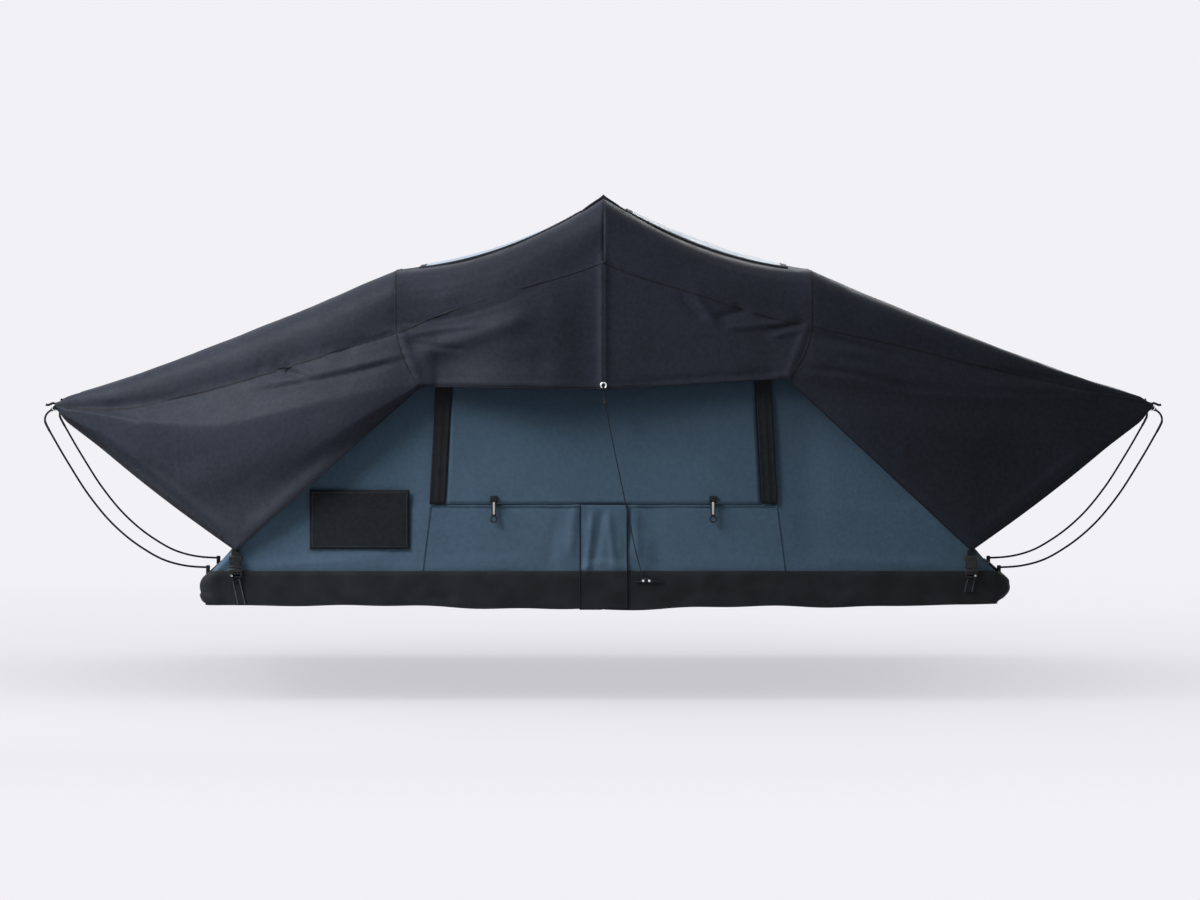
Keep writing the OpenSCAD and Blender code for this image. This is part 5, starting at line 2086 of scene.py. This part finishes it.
@dataclass(frozen=True)
class AwningRod(AtCorner):
    """One spring rod, which would be straight once let go, built bent by the cloth that it holds
    out.
    """

    pin: Pair = (1.182, 0.104)
    rod_y: float = 0.700
    radius: float = 0.003
    bend: float = 0.679
    slope: float = 13.0
    sweep: float = 57.0
    crook: float = 0.032
    crook_sweep: float = 78.0
    straight: float = 0.018
    sag: tuple[Pair, ...] = (
        (0.0, 0.0), (0.07, 0.014), (0.15, 0.022), (0.27, 0.019), (0.42, 0.010), (0.57, -0.002),
        (0.72, -0.010), (0.84, -0.007), (0.93, 0.0), (1.0, 0.0))
    collar: tuple[int, int] = (66, 73)
    fold: FlapFold = FlapFold(under=0.006, keep=0.06)

    def path(self) -> Array:
        """Bend the rod.

        Returns:
            Points down its middle, from its pin to its end.
        """
        marks = []
        at = np.array(self.pin)
        for radius, start, sweep, steps in (
                (self.bend, self.slope, self.sweep, 70),
                (self.crook, self.slope + self.sweep, self.crook_sweep, 16)):
            turn = np.radians(start + np.linspace(0.0, sweep, steps))
            arc = radius * np.stack([np.sin(turn), -np.cos(turn)], axis=-1)
            marks.append(at + arc - arc[0])
            at = marks[-1][-1]
        marks.append(at + self.straight * np.array([[math.cos(turn[-1]), math.sin(turn[-1])]]))
        line = np.concatenate([marks[0], marks[1][1:], marks[2]])
        run = run_length(line)
        out = math.radians(self.fold.slope)
        away = np.array([math.sin(out), -math.cos(out)])
        line = line + flow(run / run[-1], self.sag)[:, None] * away
        return places(self.side.value * line[:, 0], self.face.value * self.rod_y, line[:, 1])

    def shape_eye(self, work: Work) -> None:
        """Add the eye on the rod's pin.

        Args:
            work: the mesh.
        """
        for off in (-0.0042, -0.0014, 0.0014, 0.0042):
            y = self.face.value * self.rod_y + off
            hoop(work, (self.side.value * self.pin[0], y, self.pin[1]), 0.0048, 0.0017,
                 turns=20, sides=8)

    def shape_socket(self, work: Work) -> None:
        """Add the swivel socket: two cheeks with a rivet through them, on a foot behind the skirt.

        Args:
            work: the mesh.
        """
        x, y, z = self.side.value * self.pin[0], self.face.value * self.rod_y, self.pin[1]
        for off in (-0.0088, 0.0064):
            block(work, (x - 0.0058, y + off, 0.0660), (x + 0.0058, y + off + 0.0024, z + 0.0062),
                  0.0011)
            hoop(work, (x, y + off + 0.0012, z), 0.0018, 0.0014, turns=16, sides=8)
        block(work, (x - 0.0120, y - 0.0095, 0.0655), (x + 0.0120, y + 0.0095, 0.0760), 0.0025)

    def build(self) -> None:
        """Build the rod, its collar, its eye and its socket."""
        path = self.path()
        rod = tube_object(f"{self.tag}_awning_rod", path, self.radius, SPRING, 12)
        collar = tube_object(f"{self.tag}_awning_rod_collar", path[slice(*self.collar)],
                             self.radius + 0.0006, PLASTIC, 12)
        eye = bmesh_object(f"{self.tag}_awning_rod_eye", SPRING, self.shape_eye)
        for obj in (rod, collar, eye):
            self.fold.dress(obj, self.side)
        socket = bmesh_object(f"{self.tag}_rod_socket", PLASTIC, self.shape_socket)
        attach(socket, self.side.base)
        if self.face is Face.FRONT:
            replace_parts(rod, f"{self.side.hand}_rods")
            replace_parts(socket, f"{self.side.word}_rod_sockets")


# The hard parts and the studio


HARD_PARTS = {
    PANEL: ("fixed_panel", "folding_panel"),
    ALUMINIUM: ("fixed_frame", "folding_frame", "outer_mounting_rail", "inner_mounting_rail",
                "left_bow", "centre_bow", "right_bow"),
    ZINC: ("fixed_hinge_brackets", "folding_hinge_brackets", "hinge_pins", "hinge_nuts"),
    PLASTIC: ("left_bow_eyes", "centre_bow_eyes", "right_bow_eyes", "left_rod_hooks",
              "right_rod_hooks"),
}


def finish_hard_parts() -> None:
    """Give each hard part its finish."""
    for finish, names in HARD_PARTS.items():
        for name in names:
            mesh = frame["nodes"][name].data
            mesh.materials.clear()
            mesh.materials.append(finish.material())
            LOG.info("hard part %s in %s", name, finish.name)


@dataclass(frozen=True)
class Studio:
    """The camera, lamps, floor and background."""

    target: Triple = (-0.0104, -0.95, 0.458)
    distance: float = 51.0
    rise: float = 0.8
    wide: float = 3.569
    floor_z: float = -0.245
    floor_tilt: float = 0.05
    floor_reach: float = 60.0
    floor_bend: float = 4.0
    backdrop: str = "f2f1f6"
    ambient: float = 0.20

    def camera(self) -> None:
        """Set the camera far off in front, nearly level."""
        data = bpy.data.cameras.new("camera")
        data.sensor_width = 36.0
        data.lens = data.sensor_width * self.distance / self.wide
        data.clip_end = 500.0
        back = Vector((0.0, -math.cos(math.radians(self.rise)), math.sin(math.radians(self.rise))))
        camera = bpy.data.objects.new("camera", data)
        camera.location = Vector(self.target) + back * self.distance
        camera.rotation_euler = (-back).to_track_quat("-Z", "Y").to_euler()
        bpy.context.scene.collection.objects.link(camera)
        bpy.context.scene.camera = camera

    def lamp(self, name: str, power: float, size: float, place: Point, aim: Point,
             spread: float = 180.0) -> None:
        """Hang a soft box.

        Args:
            name: its name.
            power: its strength in watts.
            size: its width.
            place: where it hangs.
            aim: the point it faces.
            spread: the angle that its grid lets out, in degrees.
        """
        data = bpy.data.lights.new(name, "AREA")
        data.spread = math.radians(spread)
        data.energy = power
        data.size = size
        lamp = bpy.data.objects.new(name, data)
        lamp.location = place
        lamp.rotation_euler = (Vector(aim) - Vector(place)).to_track_quat("-Z", "Y").to_euler()
        bpy.context.scene.collection.objects.link(lamp)

    def lights(self) -> None:
        """Hang the key, fill, top and rear boxes."""
        self.lamp("key", 70.0, 2.0, (-3.0, -2.2, 2.9), (-0.8, -1.0, 0.4), 90.0)
        self.lamp("fill", 3.0, 3.0, (4.5, -4.5, 1.8), (0.4, -0.9, 0.5))
        self.lamp("top", 10.0, 4.0, (0.0, 0.0, 4.5), (0.0, 0.0, 0.0))
        self.lamp("rear", 80.0, 3.0, (2.0, 5.0, 2.4), (0.0, 0.9, 0.5))

    def world(self) -> None:
        """Light the world evenly, and show the backdrop's colour to the camera."""
        world = bpy.data.worlds.new("studio")
        world.use_nodes = True
        bpy.context.scene.world = world
        tree = world.node_tree
        soft = tree.nodes["Background"]
        soft.inputs["Color"].default_value = (1.0, 1.0, 1.0, 1.0)
        soft.inputs["Strength"].default_value = self.ambient
        seen = tree.nodes.new("ShaderNodeBackground")
        seen.inputs["Color"].default_value = linear(self.backdrop)
        pick = tree.nodes.new("ShaderNodeMixShader")
        tree.links.new(plain_view(tree), pick.inputs["Fac"])
        tree.links.new(soft.outputs["Background"], pick.inputs[1])
        tree.links.new(seen.outputs["Background"], pick.inputs[2])
        tree.links.new(pick.outputs["Shader"], tree.nodes["World Output"].inputs["Surface"])

    def floor(self) -> None:
        """Lay the floor, tilted a little under the tent."""
        reach, bend = self.floor_reach, self.floor_bend
        ys = np.concatenate([[-reach], np.linspace(-7.0, 7.0, 60), [reach]])
        z = self.floor_z + self.floor_tilt * bend * np.tanh(ys / bend)
        grid_object("studio_floor", places(np.array([[-reach], [reach]]), ys, z), FLOOR)

    def build(self) -> None:
        """Set up the lamps, the backdrop and the floor."""
        self.lights()
        self.world()
        self.floor()
        bpy.context.scene.view_settings.view_transform = "Standard"


def main() -> None:
    """Build the tent round its frame, then the studio, and report each piece."""
    logging.basicConfig(level=logging.INFO, format="%(name)s: %(message)s")
    studio = Studio()
    studio.camera()
    parts = [GuyLine()]
    for side in Side:
        parts += [Fly(side), Body(side), Skirt(side), Mattress(side), PullTab(side)]
        for face in Face:
            parts += [Corner(side, face), TipHook(side, face), AwningRod(side, face)]
    parts += [RidgeCap(), LabelPatch(), *map(Gusset, Face)]
    for part in parts:
        known = set(bpy.data.objects.keys())
        part.build()
        for name in sorted(set(bpy.data.objects.keys()) - known):
            LOG.info("%s of %s", name, type(part).__name__)
    finish_hard_parts()
    studio.build()


if __name__ == "__main__":
    main()
